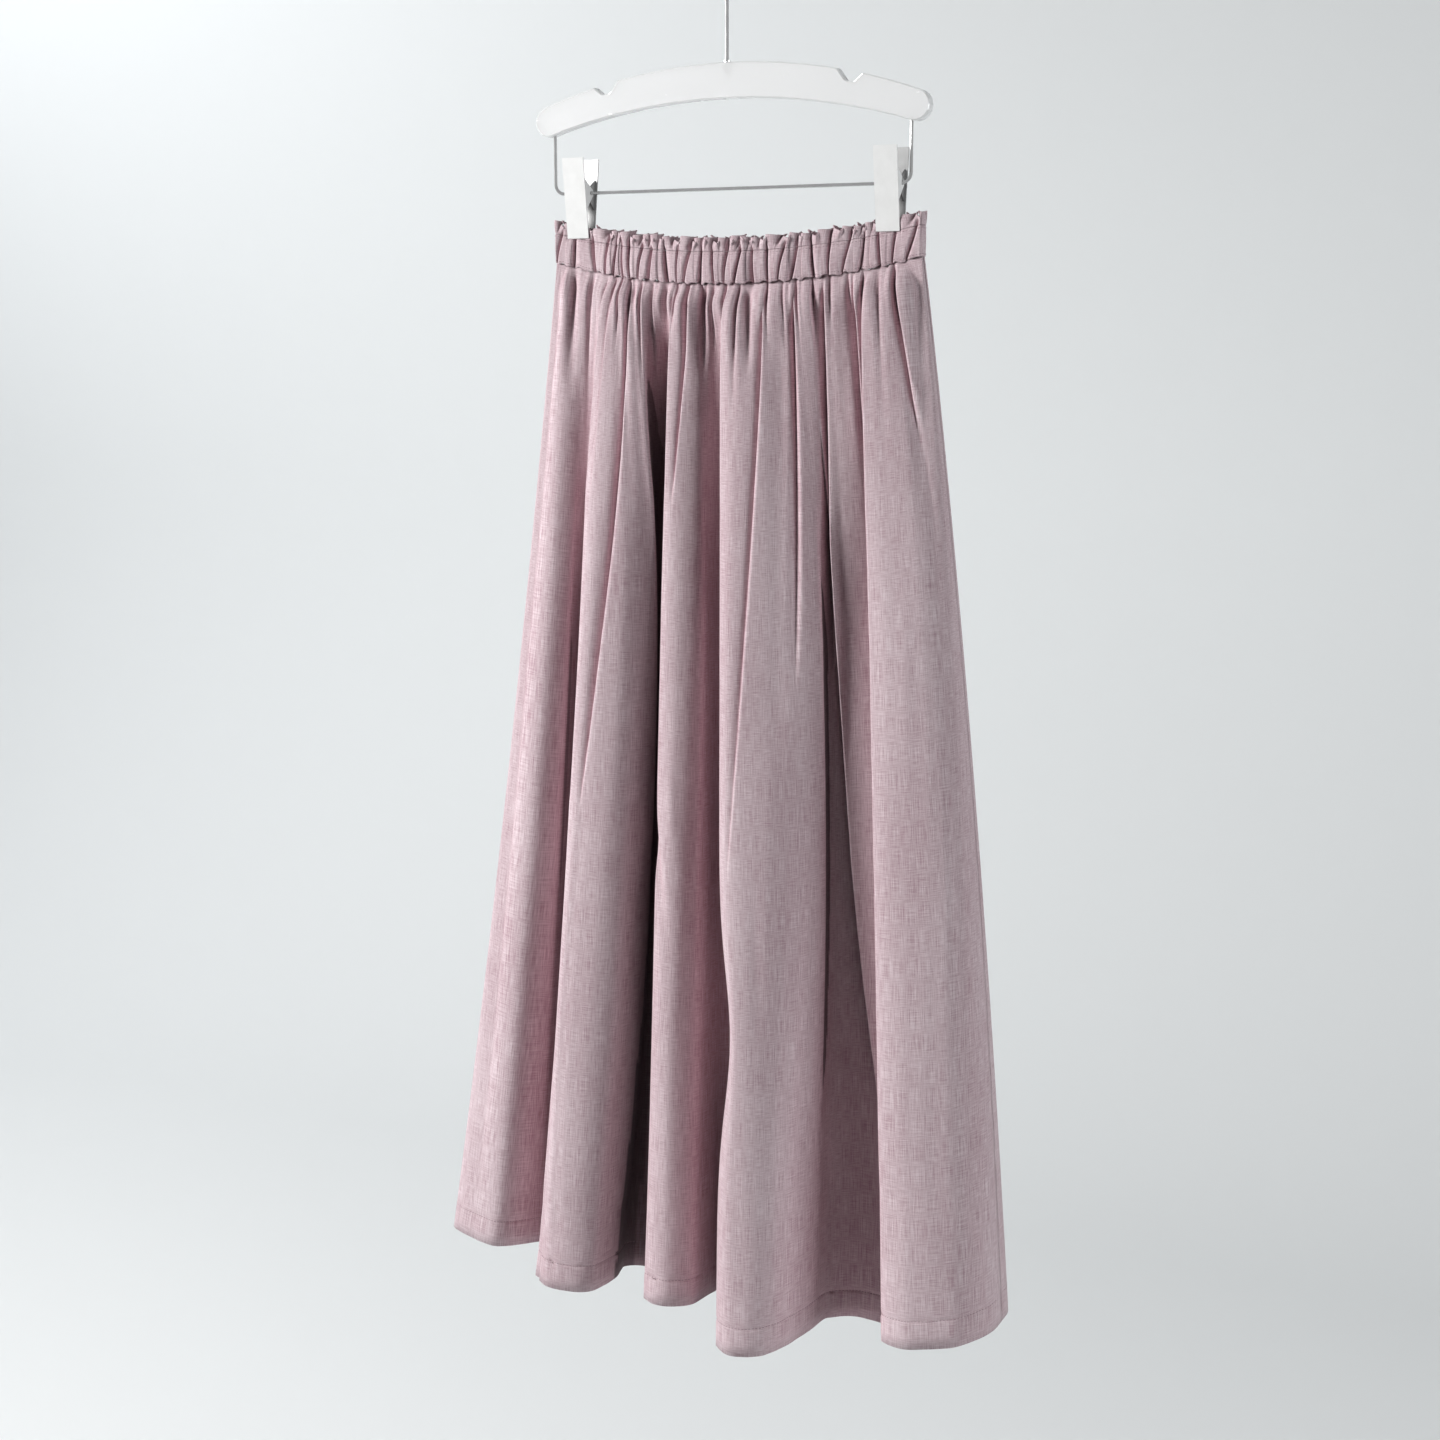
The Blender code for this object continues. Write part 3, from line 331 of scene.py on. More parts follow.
class SkirtSettings(bpy.types.PropertyGroup):
    """Cloth and sewing"""
    linen_colour: bpy.props.FloatVectorProperty(
        name="Linen colour", description="Colour of the raised threads", subtype="COLOR",
        size=3, min=0.0, max=1.0, default=(0.71, 0.60, 0.63))
    linen_shade: bpy.props.FloatVectorProperty(
        name="Linen shade", description="Colour of the darker threads and slubs",
        subtype="COLOR", size=3, min=0.0, max=1.0, default=(0.40, 0.26, 0.295))
    cloth_thickness: bpy.props.FloatProperty(
        name="Cloth thickness", description="Thickness of one layer of linen",
        default=0.5 * MM, min=0.2 * MM, max=2.0 * MM, unit="LENGTH", precision=5)
    thread_pitch: bpy.props.FloatProperty(
        name="Thread pitch", description="Distance from one thread to the next",
        default=0.62 * MM, min=0.3 * MM, max=3.0 * MM, unit="LENGTH", precision=5)
    ripple_depth: bpy.props.FloatProperty(
        name="Ripple depth", description="Depth of the soft upright ripples between the folds",
        default=0.45 * MM, min=0.0, max=3.0 * MM, unit="LENGTH", precision=5)
    # Painted bounce tint and painted shade: the linen's colour is tinted and darkened deep between two
    # folds, in place of the shade and bounce light there.
    painted_bounce_tint: bpy.props.FloatVectorProperty(
        name="Fold tint", description="Tint that the cloth casts on itself between two folds",
        subtype="COLOR", size=3, min=0.0, max=1.0, default=(1.0, 0.86, 0.89))
    painted_fold_shade: bpy.props.FloatProperty(
        name="Fold shade", description="Brightness of the cloth that lies deep between two folds",
        default=0.26, min=0.0, max=1.0)
    thread_colour: bpy.props.FloatVectorProperty(
        name="Sewing thread colour", description="Colour of the stitches", subtype="COLOR",
        size=3, min=0.0, max=1.0, default=(0.37, 0.25, 0.28))
    stitch_length: bpy.props.FloatProperty(
        name="Stitch length", description="Length of one stitch that shows",
        default=2.2 * MM, min=1.0 * MM, max=6.0 * MM, unit="LENGTH", precision=5)
    thread_radius: bpy.props.FloatProperty(
        name="Thread radius", description="Half the thickness of the sewing thread",
        default=0.3 * MM, min=0.1 * MM, max=1.0 * MM, unit="LENGTH", precision=5)
    stitch_gap: bpy.props.FloatProperty(
        name="Stitch gap", description="Gap between two stitches",
        default=0.8 * MM, min=0.2 * MM, max=4.0 * MM, unit="LENGTH", precision=5)


class HangerSettings(bpy.types.PropertyGroup):
    """Bar, wires and clips"""
    bar_colour: bpy.props.FloatVectorProperty(
        name="Bar colour", description="Tint of the clear bar", subtype="COLOR",
        size=3, min=0.0, max=1.0, default=(0.94, 0.945, 0.95))
    wire_colour: bpy.props.FloatVectorProperty(
        name="Wire colour", description="Colour of the wires and springs", subtype="COLOR",
        size=3, min=0.0, max=1.0, default=(0.60, 0.60, 0.60))
    clip_colour: bpy.props.FloatVectorProperty(
        name="Clip colour", description="Colour of the clips' satin plating", subtype="COLOR",
        size=3, min=0.0, max=1.0, default=(0.86, 0.865, 0.86))
    spring_turns: bpy.props.IntProperty(
        name="Spring turns", description="Turns of each clip's spring",
        default=8, min=3, max=14)


class StageSettings(bpy.types.PropertyGroup):
    """Lights, backdrop and camera"""
    key_power: bpy.props.FloatProperty(
        name="Key light", description="Power of the large soft light at the left",
        default=113.0, min=0.0, unit="POWER")
    wall_power: bpy.props.FloatProperty(
        name="Wall light", description="Power of the light that only reaches the wall behind",
        default=57.0, min=0.0, unit="POWER")
    fill_power: bpy.props.FloatProperty(
        name="Fill light", description="Power of the weak light at the right",
        default=42.0, min=0.0, unit="POWER")
    room_light: bpy.props.FloatProperty(
        name="Room light", description="Strength of the even light from all round",
        default=0.03, min=0.0)
    room_looks: bpy.props.FloatProperty(
        name="Room brightness", description="How much brighter the room looks than it lights",
        default=0.70, min=0.0)
    backdrop_colour: bpy.props.FloatVectorProperty(
        name="Backdrop colour", description="Colour of the floor and the wall behind",
        subtype="COLOR", size=3, min=0.0, max=1.0, default=(0.82, 0.84, 0.845))
    camera_turn: bpy.props.FloatProperty(
        name="Camera turn", description="How far the camera stands round to the right",
        default=math.radians(25.0), subtype="ANGLE")
    camera_tilt: bpy.props.FloatProperty(
        name="Camera tilt", description="How far the camera looks down",
        default=math.radians(9.78), subtype="ANGLE")


# Cloth form.

def monotone(knots, values, at):
    """Smooth curve through the knots that adds no bump of its own between them."""
    knots = np.asarray(knots, float)
    values = np.asarray(values, float)
    step = np.diff(knots)
    slope = np.diff(values) / step
    tangent = np.zeros(len(knots))
    tangent[0] = slope[0]
    tangent[-1] = slope[-1]
    for i in range(1, len(knots) - 1):
        if slope[i - 1] * slope[i] > 0:
            before = 2 * step[i] + step[i - 1]
            after = step[i] + 2 * step[i - 1]
            tangent[i] = (before + after) / (before / slope[i - 1] + after / slope[i])
    span = np.clip(np.searchsorted(knots, at, side="right") - 1, 0, len(step) - 1)
    s = (at - knots[span]) / step[span]
    h = step[span]
    return ((2 * s ** 3 - 3 * s ** 2 + 1) * values[span]
            + (s ** 3 - 2 * s ** 2 + s) * h * tangent[span]
            + (-2 * s ** 3 + 3 * s ** 2) * values[span + 1]
            + (s ** 3 - s ** 2) * h * tangent[span + 1])


def face_sign(face):
    """Which way a face looks along Y: -1 for the front, 1 for the back."""
    return -1.0 if face == "front" else 1.0


def across(x):
    """Place between the waist's ends, from -1 at the left to 1 at the right."""
    middle = (WAIST_LEFT_X + WAIST_RIGHT_X) / 2
    return (x - middle) / ((WAIST_RIGHT_X - WAIST_LEFT_X) / 2)


def waist_depth(x):
    """How far a layer of the waist stands off the middle plane."""
    low = CLIP_X["left"] + CLIP_WIDTH / 2
    high = CLIP_X["right"] - CLIP_WIDTH / 2
    part = np.clip((x - low) / (high - low), 0.0, 1.0)
    return WAIST_HALF_GAP + WAIST_BOW * (4 * part * (1 - part)) ** 1.2


def start_depth(name, waist_x, sign):
    """Front-to-back place of a fold line's upper end; the panels meet at the seams."""
    return 0.0 if name.endswith("seam") else sign * waist_depth(waist_x * MM)


def hashed(number):
    """Even spread of values from 0 to 1, one for each whole number."""
    value = np.sin(np.asarray(number, float) * 12.9898 + 4.1) * 43758.5453
    return value - np.floor(value)


def gather_wave(at, face, sharpness):
    """Puffs between narrow creases: 1 on a puff and -1 in a crease."""
    shift = GATHER_SHIFT * np.sin(2.3 * at + (0.0 if face == "front" else 1.7))
    phase = (at + shift * np.sin(np.pi * at) ** 2) % 1.0
    return 1.0 - 2.0 * np.abs(np.cos(np.pi * phase)) ** sharpness


def fade_at_seams(at):
    """0 at the two side seams, 1 away from them."""
    left = np.clip((at - 0.5) / 0.75, 0.0, 1.0)
    right = np.clip((GATHERS - 0.5 - at) / 0.75, 0.0, 1.0)
    return left * right


def pleat_height(pleats, at, t):
    """Height of the pleats at one level: a crease, a step up, and a slow fall."""
    height = np.zeros_like(at)
    for _, lip, at_top, top, at_end, end, rise, drop, face, crease in pleats:
        part = (t - top) / (end - top)
        if 0.0 < part < 1.0:
            place = at - (at_top + (at_end - at_top) * part)
            if lip == "right":
                place = -place
            growth = 0.03 if lip == "left" and rise < TALL_RIDGE else 0.18
            strength = min(1.0, (t - top) / growth) * (1.0 - part) ** 0.5 * (0.8 + 0.4 * t)
            soft = PLEAT_SOFTNESS if lip == "left" else SHOULDER_SOFTNESS
            step = 0.5 + 0.5 * np.tanh(place / soft)
            after = rise * np.exp(-np.maximum(place, 0.0) / face)
            below = np.minimum(place, 0.0)
            before = drop * (0.65 * np.exp(below / crease) + 0.35 * np.exp(below / SLIT_WIDTH))
            height += MM * strength * (step * after - (1.0 - step) * before)
    return height


def hollow_depth(hollows, at, t):
    """Depth of the hollows between the folds at one level, steeper at their right."""
    depth = np.zeros_like(at)
    for _, at_top, top, at_end, end, deep, left, right in hollows:
        part = (t - top) / (end - top)
        if 0.0 < part < 1.0:
            place = at - (at_top + (at_end - at_top) * part)
            strength = min(1.0, part * 6.0) * (1.0 - part) ** 0.7
            width = np.where(place < 0.0, left, right)
            depth += deep * MM * strength / np.cosh(1.6 * place / width)
    return depth


def crease_strength(at, t):
    """Each gather runs down its own length before it fades, blended between neighbours."""
    whole = np.floor(at)
    part = np.clip((at - whole - 0.35) / 0.3, 0.0, 1.0)
    strength = np.zeros_like(at)
    for number, weight in ((whole, 1 - part), (whole + 1, part)):
        reach = 0.028 + 0.055 * hashed(number) ** 3
        depth = 0.35 + 1.15 * hashed(number + 51)
        strength += weight * depth * np.exp(-(t / reach) ** 1.5)
    return strength


def soft_ripples(at, t, face, depth):
    """Shallow upright ripples that wander a little on the way down."""
    turn = 0.0 if face == "front" else 2.1
    total = np.zeros_like(at)
    for wave, drift, sway, start in RIPPLES:
        swing = drift * math.sin(sway * t + start + turn)
        total += np.sin(2 * np.pi * wave * at + swing + start * 2.0) / (1.0 + wave)
    patches = 0.55 + 0.45 * np.sin(0.9 * at + 5.0 * t + turn)
    return depth * total * patches * min(1.0, t / 0.08)


def placed_creases(creases, at, t):
    """Height of the creases of use at one level."""
    height = np.zeros_like(at)
    across_mm = at / GATHERS * CUT_WIDTH * 1000
    down_mm = t * CUT_LENGTH * 1000
    for place, drop, long, wide, lean, deep in creases:
        dx = across_mm - place / GATHERS * CUT_WIDTH * 1000
        dy = down_mm - drop * CUT_LENGTH * 1000
        turn = math.radians(lean)
        along = dx * math.sin(turn) + dy * math.cos(turn)
        aside = dx * math.cos(turn) - dy * math.sin(turn)
        height += deep * MM * np.exp(-(along / (long / 2)) ** 2 - (aside / wide) ** 2)
    return height


def hem_shape(at, t):
    """Puckered line where the hem is stitched, and the edge that rolls a little."""
    line = math.exp(-((t - HEM_STITCH) / 0.0022) ** 2)
    below = 0.5 + 0.5 * math.tanh((t - HEM_STITCH) / 0.0024)
    pucker = 0.6 + 0.4 * np.sin(at * 9.0 + 2.0 * np.sin(at * 1.3))
    part = (t - HEM_STITCH) / (1 - HEM_STITCH)
    roll = 0.5 * MM * below * np.sin(at * 5.1 + 1.0) * part
    return -HEM_PUCKER * line * pucker + 0.35 * MM * below + roll


def outward(knots, xs, ys, at, sign):
    """Direction (x, y) in which the cloth faces, over a reach of about a gather."""
    before = np.clip(at - NORMAL_REACH, 0.0, GATHERS)
    after = np.clip(at + NORMAL_REACH, 0.0, GATHERS)
    chord_x = monotone(knots, xs, after) - monotone(knots, xs, before)
    chord_y = monotone(knots, ys, after) - monotone(knots, ys, before)
    # At the side seams the cloth faces straight left or right.
    plain = 1.0 - np.clip(np.minimum(at, GATHERS - at) - 0.5, 0.0, 1.0)
    chord_y += plain * np.where(at < GATHERS / 2, sign, -sign)
    size = np.hypot(chord_x, chord_y)
    return chord_y / size, -chord_x / size


def kept_apart(y, base, sign, t):
    """Hold a panel on its own side of the layer midway between the two panels."""
    middle = MIDDLE_AT_HEM * t ** FOLD_GROWTH
    limit = np.maximum(-sign * middle - 1.5 * MM, -sign * base + 1.0 * MM)
    inward = -sign * y
    inward = -PLEAT_REST * np.log(np.exp(-inward / PLEAT_REST) + np.exp(-limit / PLEAT_REST))
    return -sign * inward


def panel_section(folds, pleats, hollows, creases, face, at, t, ripple_depth):
    """Points (x, y) of one panel at one level; t is 0 at the waist, 1 at the hem."""
    knots = [row[1] for row in folds]
    sign = face_sign(face)
    xs = []
    ys = []
    for name, _, waist_x, hem_x, hem_y, mid_x in folds:
        start_y = start_depth(name, waist_x, sign)
        xs.append((waist_x + (hem_x - waist_x) * t + mid_x * 4 * t * (1 - t)) * MM)
        ys.append(start_y + (hem_y * MM - start_y) * t ** FOLD_GROWTH)
    x = monotone(knots, xs, at)
    base = monotone(knots, ys, at)
    out_x, out_y = outward(knots, xs, ys, at, sign)
    growth = 1.0 - math.exp(-(t / 0.013) ** 2)
    end_room = np.clip((waist_depth(x) - WAIST_HALF_GAP) / WAIST_BOW * 3.0, 0.0, 1.0)
    start = GATHER_DEPTH_WAIST * (0.5 + 0.5 * end_room)
    depth = (start + (GATHER_DEPTH_SKIRT - start) * growth) * crease_strength(at, t)
    shape = depth * gather_wave(at, face, PANEL_SHARPNESS)
    shape = shape + pleat_height(pleats, at, t) - hollow_depth(hollows, at, t)
    level = np.clip(sign * out_y, 0.3, 1.0) ** 0.8
    if face == "front":
        # The middle fold's edge swings out and back above the knee.
        swing = 11.0 * MM * math.exp(-((t - 0.70) / 0.09) ** 2)
        x = x + swing * np.exp(-((at - 15.2) / 1.1) ** 2)
    fine = soft_ripples(at, t, face, ripple_depth) + placed_creases(creases, at, t)
    fine += hem_shape(at, t)
    fine += 0.5 * MM * math.exp(-t / 0.02) * np.sin(4 * np.pi * at + 1.5 * np.sin(at * 1.9))
    fade = fade_at_seams(at)
    seam_reach = 1.5 if face == "front" else 5.0
    middle_part = np.clip((np.minimum(at, GATHERS - at) - 0.5) / seam_reach, 0.0, 1.0)
    move = PUFF * growth * (1.0 - 0.5 * t) * middle_part
    move = move + shape * level * fade + fine * fade * (0.35 + 0.65 * level)
    return x + out_x * move, kept_apart(base + out_y * move, base, sign, t)


def seam_pucker(at):
    """Small waves of the line where the casing meets the gathered cloth."""
    return 0.8 * MM * (np.sin(6.1 * at) + 0.6 * np.sin(11.3 * at + 1.0)) * fade_at_seams(at)


def panel_heights(folds, at, t):
    """Height of every point of a panel's row."""
    waist_x = monotone([row[1] for row in folds], [row[2] * MM for row in folds], at)
    u = across(waist_x)
    top = WAIST_SEAM_Z - SEAM_GAP / 2 - WAIST_SEAM_SAG * (1 - u * u)
    low = HEM_Z - HEM_SAG * (1 - u * u)
    return top + (low - top) * t + seam_pucker(at) * math.exp(-t / 0.004)


def grid_mesh(name, rows, cloth_u, cloth_v, closed, free=None):
    """Mesh of a grid of points, with a UV map that holds the cloth's own metres."""
    count = len(rows[0])
    points = [point for row in rows for point in row]
    faces = []
    corners = []
    last = count if closed else count - 1
    for r in range(len(rows) - 1):
        for j in range(last):
            k = (j + 1) % count
            faces.append((r * count + j, (r + 1) * count + j, (r + 1) * count + k, r * count + k))
            corners += [(cloth_u[r][j], cloth_v[r]), (cloth_u[r + 1][j], cloth_v[r + 1]),
                        (cloth_u[r + 1][j + 1], cloth_v[r + 1]), (cloth_u[r][j + 1], cloth_v[r])]
    mesh = bpy.data.meshes.new(name)
    mesh.from_pydata(points, [], faces)
    layer = mesh.uv_layers.new(name="cloth")
    layer.data.foreach_set("uv", [value for corner in corners for value in corner])
    # Openness of each point, kept for the linen's painted fold shade.
    if free is not None:
        layer = mesh.attributes.new("openness", "FLOAT", "POINT")
        layer.data.foreach_set("value", np.concatenate(free))
    mesh.shade_smooth()
    return mesh


def show(name, data, finish):
    """Object at the origin with its one material."""
    made = bpy.data.objects.new(name, data)
    if finish is not None:
        data.materials.append(finish)
    bpy.context.scene.collection.objects.link(made)
    return made


def apply_modifiers(item):
    """Turn an object with modifiers into a plain mesh of the same shape."""
    bpy.context.view_layer.update()
    graph = bpy.context.evaluated_depsgraph_get()
    mesh = bpy.data.meshes.new_from_object(item.evaluated_get(graph))
    item.modifiers.clear()
    item.data = mesh
    return item


def thicken(item, wall):
    """Give a sheet its thickness, half to each side."""
    solid = item.modifiers.new("wall", "SOLIDIFY")
    solid.thickness = wall
    solid.offset = 0.0
    solid.use_quality_normals = True
    return apply_modifiers(item)


# The openness of each point sets the painted fold shade of the linen.
def openness(x, y, sign):
    """How much of the half circle in front of each point of a row is free of cloth, 0 to 1."""
    aside = x[None, :] - x[:, None]
    ahead = sign * (y[None, :] - y[:, None])
    angle = np.arctan2(np.abs(aside), ahead)
    near = (np.abs(aside) < OPEN_REACH) & (np.abs(aside) + np.abs(ahead) > SAME_POINT)
    right = np.where(near & (aside > 0), angle, np.pi / 2).min(axis=1)
    left = np.where(near & (aside < 0), angle, np.pi / 2).min(axis=1)
    from_side = np.clip(np.arange(len(x)) / SIDE_COLUMNS, 0.0, 1.0)
    from_side = np.minimum(from_side, from_side[::-1])
    return np.maximum(np.clip((right + left) / np.pi, 0.0, 1.0), 1.0 - from_side)


def column_places(pleats, t, count):
    """Places of a row's points, closer together at the pleats' edges."""
    fine = np.linspace(0.0, GATHERS, GATHERS * 40 + 1)
    density = np.ones_like(fine)
    for _, _, at_top, top, at_end, end, *_ in pleats:
        part = min(1.0, max(0.0, (t - top) / (end - top)))
        edge = at_top + (at_end - at_top) * part
        density += 3.2 * np.exp(-((fine - edge + 0.06) / 0.2) ** 2)
    total = np.concatenate([[0.0], np.cumsum((density[1:] + density[:-1]) / 2)])
    return np.interp(np.linspace(0.0, 1.0, count), total / total[-1], fine)


def panel_rows():
    """Levels of the rows, closer together at the waist and at the hem's stitches."""
    body = np.linspace(0.0, 1.0, PANEL_ROWS) ** 1.25
    near = HEM_STITCH + np.linspace(-0.004, 0.004, 7)
    return np.unique(np.concatenate([body, near]))


# Materials.

def new_material(name):
    """Material with a bare Principled shader; gives the material, its tree and the shader."""
    made = bpy.data.materials.new(name)
    made.use_nodes = True
    tree = made.node_tree
    return made, tree, tree.nodes["Principled BSDF"]


def set_inputs(tree, node, inputs):
    """Give each input its value, or its link where the value is a socket."""
    for slot, value in dict(inputs).items():
        if isinstance(value, bpy.types.NodeSocket):
            tree.links.new(value, node.inputs[slot])
        else:
            node.inputs[slot].default_value = value


def add_node(tree, kind, inputs=(), **fields):
    """Node with its fields set first and then its inputs."""
    node = tree.nodes.new(kind)
    for field, value in fields.items():
        setattr(node, field, value)
    set_inputs(tree, node, inputs)
    return node


def math_node(tree, operation, *values, clamp=False):
    """Math node; each value is a number or a socket."""
    node = add_node(tree, "ShaderNodeMath", enumerate(values), operation=operation, use_clamp=clamp)
    return node.outputs[0]


def noise_node(tree, vector, scale, detail=2.0, roughness=0.5):
    """Noise texture on a vector."""
    inputs = {"Vector": vector, "Scale": scale, "Detail": detail, "Roughness": roughness}
    return add_node(tree, "ShaderNodeTexNoise", inputs).outputs["Fac"]


def stretched_noise(tree, vector, scale, detail=2.0, roughness=0.5):
    """Noise texture with its own scale on each axis."""
    place = add_node(tree, "ShaderNodeMapping", {"Vector": vector, "Scale": scale})
    return noise_node(tree, place.outputs["Vector"], 1.0, detail, roughness)


def mix_node(tree, factor, a, b, blend="MIX"):
    """Colour from a to b; each is four numbers or a socket."""
    inputs = {"Factor": factor, "A": a, "B": b}
    return add_node(tree, "ShaderNodeMix", inputs, data_type="RGBA", blend_type=blend).outputs["Result"]


def relief(tree, shader, height, strength, distance):
    """Fine relief on a shader's surface."""
    inputs = {"Height": height, "Strength": strength, "Distance": distance}
    bump = add_node(tree, "ShaderNodeBump", inputs)
    tree.links.new(bump.outputs["Normal"], shader.inputs["Normal"])


def linen_group():
    """Plain weave with slubs: puts out the height of the threads and a tone from 0 to 1."""
    tree = bpy.data.node_groups.new(WEAVE_NAME, "ShaderNodeTree")
    for label, way, kind in (("Cloth Place", "INPUT", "NodeSocketVector"),
                             ("Thread Pitch", "INPUT", "NodeSocketFloat"),
                             ("Height", "OUTPUT", "NodeSocketFloat"),
                             ("Tone", "OUTPUT", "NodeSocketFloat")):
        tree.interface.new_socket(label, in_out=way, socket_type=kind)
    start = tree.nodes.new("NodeGroupInput")
    place = start.outputs["Cloth Place"]
    # Threads wander by a fraction of their pitch.
    split = add_node(tree, "ShaderNodeSeparateXYZ", {0: place})
    waves = []
    for axis, scale in (("X", (40, 9, 1)), ("Y", (9, 40, 1))):
        wander = math_node(tree, "MULTIPLY", stretched_noise(tree, place, scale), 0.0016)
        moved = math_node(tree, "ADD", split.outputs[axis], wander)
        turns = math_node(tree, "DIVIDE", moved, start.outputs["Thread Pitch"])
        waves.append(math_node(tree, "SINE", math_node(tree, "MULTIPLY", turns, math.pi)))
    upright = math_node(tree, "ABSOLUTE", waves[0])
    level = math_node(tree, "ABSOLUTE", waves[1])
    # One thread passes over the other in turn.
    over = math_node(tree, "MULTIPLY_ADD", math_node(tree, "MULTIPLY", *waves), 0.5, 0.5)
    under = math_node(tree, "SUBTRACT", 1.0, over)
    threads = math_node(tree, "ADD", math_node(tree, "MULTIPLY", upright, over),
                        math_node(tree, "MULTIPLY", level, under))
    # Slubs: long thick places in a thread, upright and level.
    slub_up = stretched_noise(tree, place, (1500, 44, 1), 3.0, 0.6)
    slub_level = stretched_noise(tree, place, (70, 1500, 1), 3.0, 0.6)
    slubs = math_node(tree, "ADD", math_node(tree, "MULTIPLY", slub_up, 1.15),
                      math_node(tree, "MULTIPLY", slub_level, 0.85))
    height = math_node(tree, "ADD", math_node(tree, "MULTIPLY", threads, 0.5),
                       math_node(tree, "MULTIPLY", slubs, 0.9))
    cloud = stretched_noise(tree, place, (14, 5, 1), 3.0, 0.55)
    tone = math_node(tree, "ADD", math_node(tree, "MULTIPLY", slubs, 2.1),
                     math_node(tree, "MULTIPLY", threads, 0.3))
    tone = math_node(tree, "ADD", tone, math_node(tree, "MULTIPLY", cloud, 0.7))
    tone = math_node(tree, "SUBTRACT", tone, 2.1, clamp=True)
    add_node(tree, "NodeGroupOutput", {"Height": height, "Tone": tone})
    return tree


def range_node(tree, value, low, high, start, end):
    """Smooth step from start to end while the value goes from low to high."""
    inputs = {"Value": value, "From Min": low, "From Max": high, "To Min": start, "To Max": end}
    node = add_node(tree, "ShaderNodeMapRange", inputs, interpolation_type="SMOOTHSTEP")
    return node.outputs["Result"]


def linen_material(name, settings, weave):
    """Dusty rose linen: dry, slubby, with a little sheen from its loose fibres, and painted shade with a
    painted bounce tint deep between the folds.
    """
    made, tree, shader = new_material(name)
    place = add_node(tree, "ShaderNodeUVMap", uv_map="cloth").outputs["UV"]
    inputs = {"Cloth Place": place, "Thread Pitch": settings.thread_pitch}
    threads = add_node(tree, "ShaderNodeGroup", inputs, node_tree=weave)
    shade = (*settings.linen_shade, 1.0)
    cloth = mix_node(tree, threads.outputs["Tone"], shade, (*settings.linen_colour, 1.0))
    # Painted shade: little light reaches the threads deep between two folds, so the openness tints and
    # darkens the base colour there in place of real shade.
    free = add_node(tree, "ShaderNodeAttribute", attribute_name="openness").outputs["Fac"]
    light = range_node(tree, free, 0.05, 0.50, settings.painted_fold_shade, 1.0)
    painted_bounce_mask = range_node(tree, free, 0.25, 0.85, 1.0, 0.0)
    painted_bounce_colour = mix_node(tree, painted_bounce_mask, cloth, (*settings.painted_bounce_tint, 1.0), "MULTIPLY")
    painted_shade_colour = add_node(tree, "ShaderNodeVectorMath", {"Vector": painted_bounce_colour, "Scale": light}, operation="SCALE")
    relief(tree, shader, threads.outputs["Height"], 0.55, 0.00035)
    set_inputs(tree, shader, {
        "Base Color": painted_shade_colour.outputs["Vector"], "Roughness": 0.88, "Specular IOR Level": 0.18,
        "Sheen Weight": 0.05, "Sheen Roughness": 0.55})
    return made


def metal_material(name, colour, roughness, metallic, grain_scale, grain_depth):
    """Bright metal with fine drawn or brushed lines and faint handling marks."""
    made, tree, shader = new_material(name)
    place = tree.nodes.new("ShaderNodeTexCoord").outputs["Object"]
    lines = stretched_noise(tree, place, grain_scale, 3.0, 0.6)
    marks = noise_node(tree, place, 90.0, 4.0, 0.6)
    rough = math_node(tree, "MULTIPLY", math_node(tree, "ADD", lines, marks), roughness * 0.5)
    rough = math_node(tree, "ADD", rough, roughness * 0.5)
    handled = (*[c * 0.86 for c in colour], 1.0)
    shown = mix_node(tree, marks, handled, (*colour, 1.0))
    relief(tree, shader, lines, 0.25, grain_depth)
    set_inputs(tree, shader, {"Base Color": shown, "Roughness": rough, "Metallic": metallic})
    return made


def clear_material(name, colour):
    """Clear moulded plastic, polished, with faint scuffs."""
    made, tree, shader = new_material(name)
    place = tree.nodes.new("ShaderNodeTexCoord").outputs["Object"]
    scuffs = stretched_noise(tree, place, (60, 60, 260), 5.0, 0.65)
    rough = math_node(tree, "MULTIPLY", math_node(tree, "POWER", scuffs, 3.0), 0.7)
    rough = math_node(tree, "ADD", rough, 0.04)
    relief(tree, shader, noise_node(tree, place, 28.0), 0.12, 0.0006)
    set_inputs(tree, shader, {
        "Base Color": (*colour, 1.0), "Roughness": rough, "Transmission Weight": 0.32,
        "Coat Weight": 0.4, "IOR": 1.49})
    return made


def thread_material(name, colour):
    """Twisted sewing thread."""
    made, tree, shader = new_material(name)
    place = tree.nodes.new("ShaderNodeTexCoord").outputs["Object"]
    shade = (*[c * 0.72 for c in colour], 1.0)
    shown = mix_node(tree, noise_node(tree, place, 2400.0), shade, (*colour, 1.0))
    set_inputs(tree, shader, {"Base Color": shown, "Roughness": 0.7})
    return made


def made_once(name, build):
    """A material or group that is built the first time it is asked for."""
    for store in (bpy.data.materials, bpy.data.node_groups):
        if name in store:
            return store[name]
    return build()


def linen():
    """Linen of every cloth piece."""
    settings = bpy.context.scene.skirt_settings
    weave = made_once(WEAVE_NAME, linen_group)
    return made_once(LINEN_NAME, lambda: linen_material(LINEN_NAME, settings, weave))


# Operators.

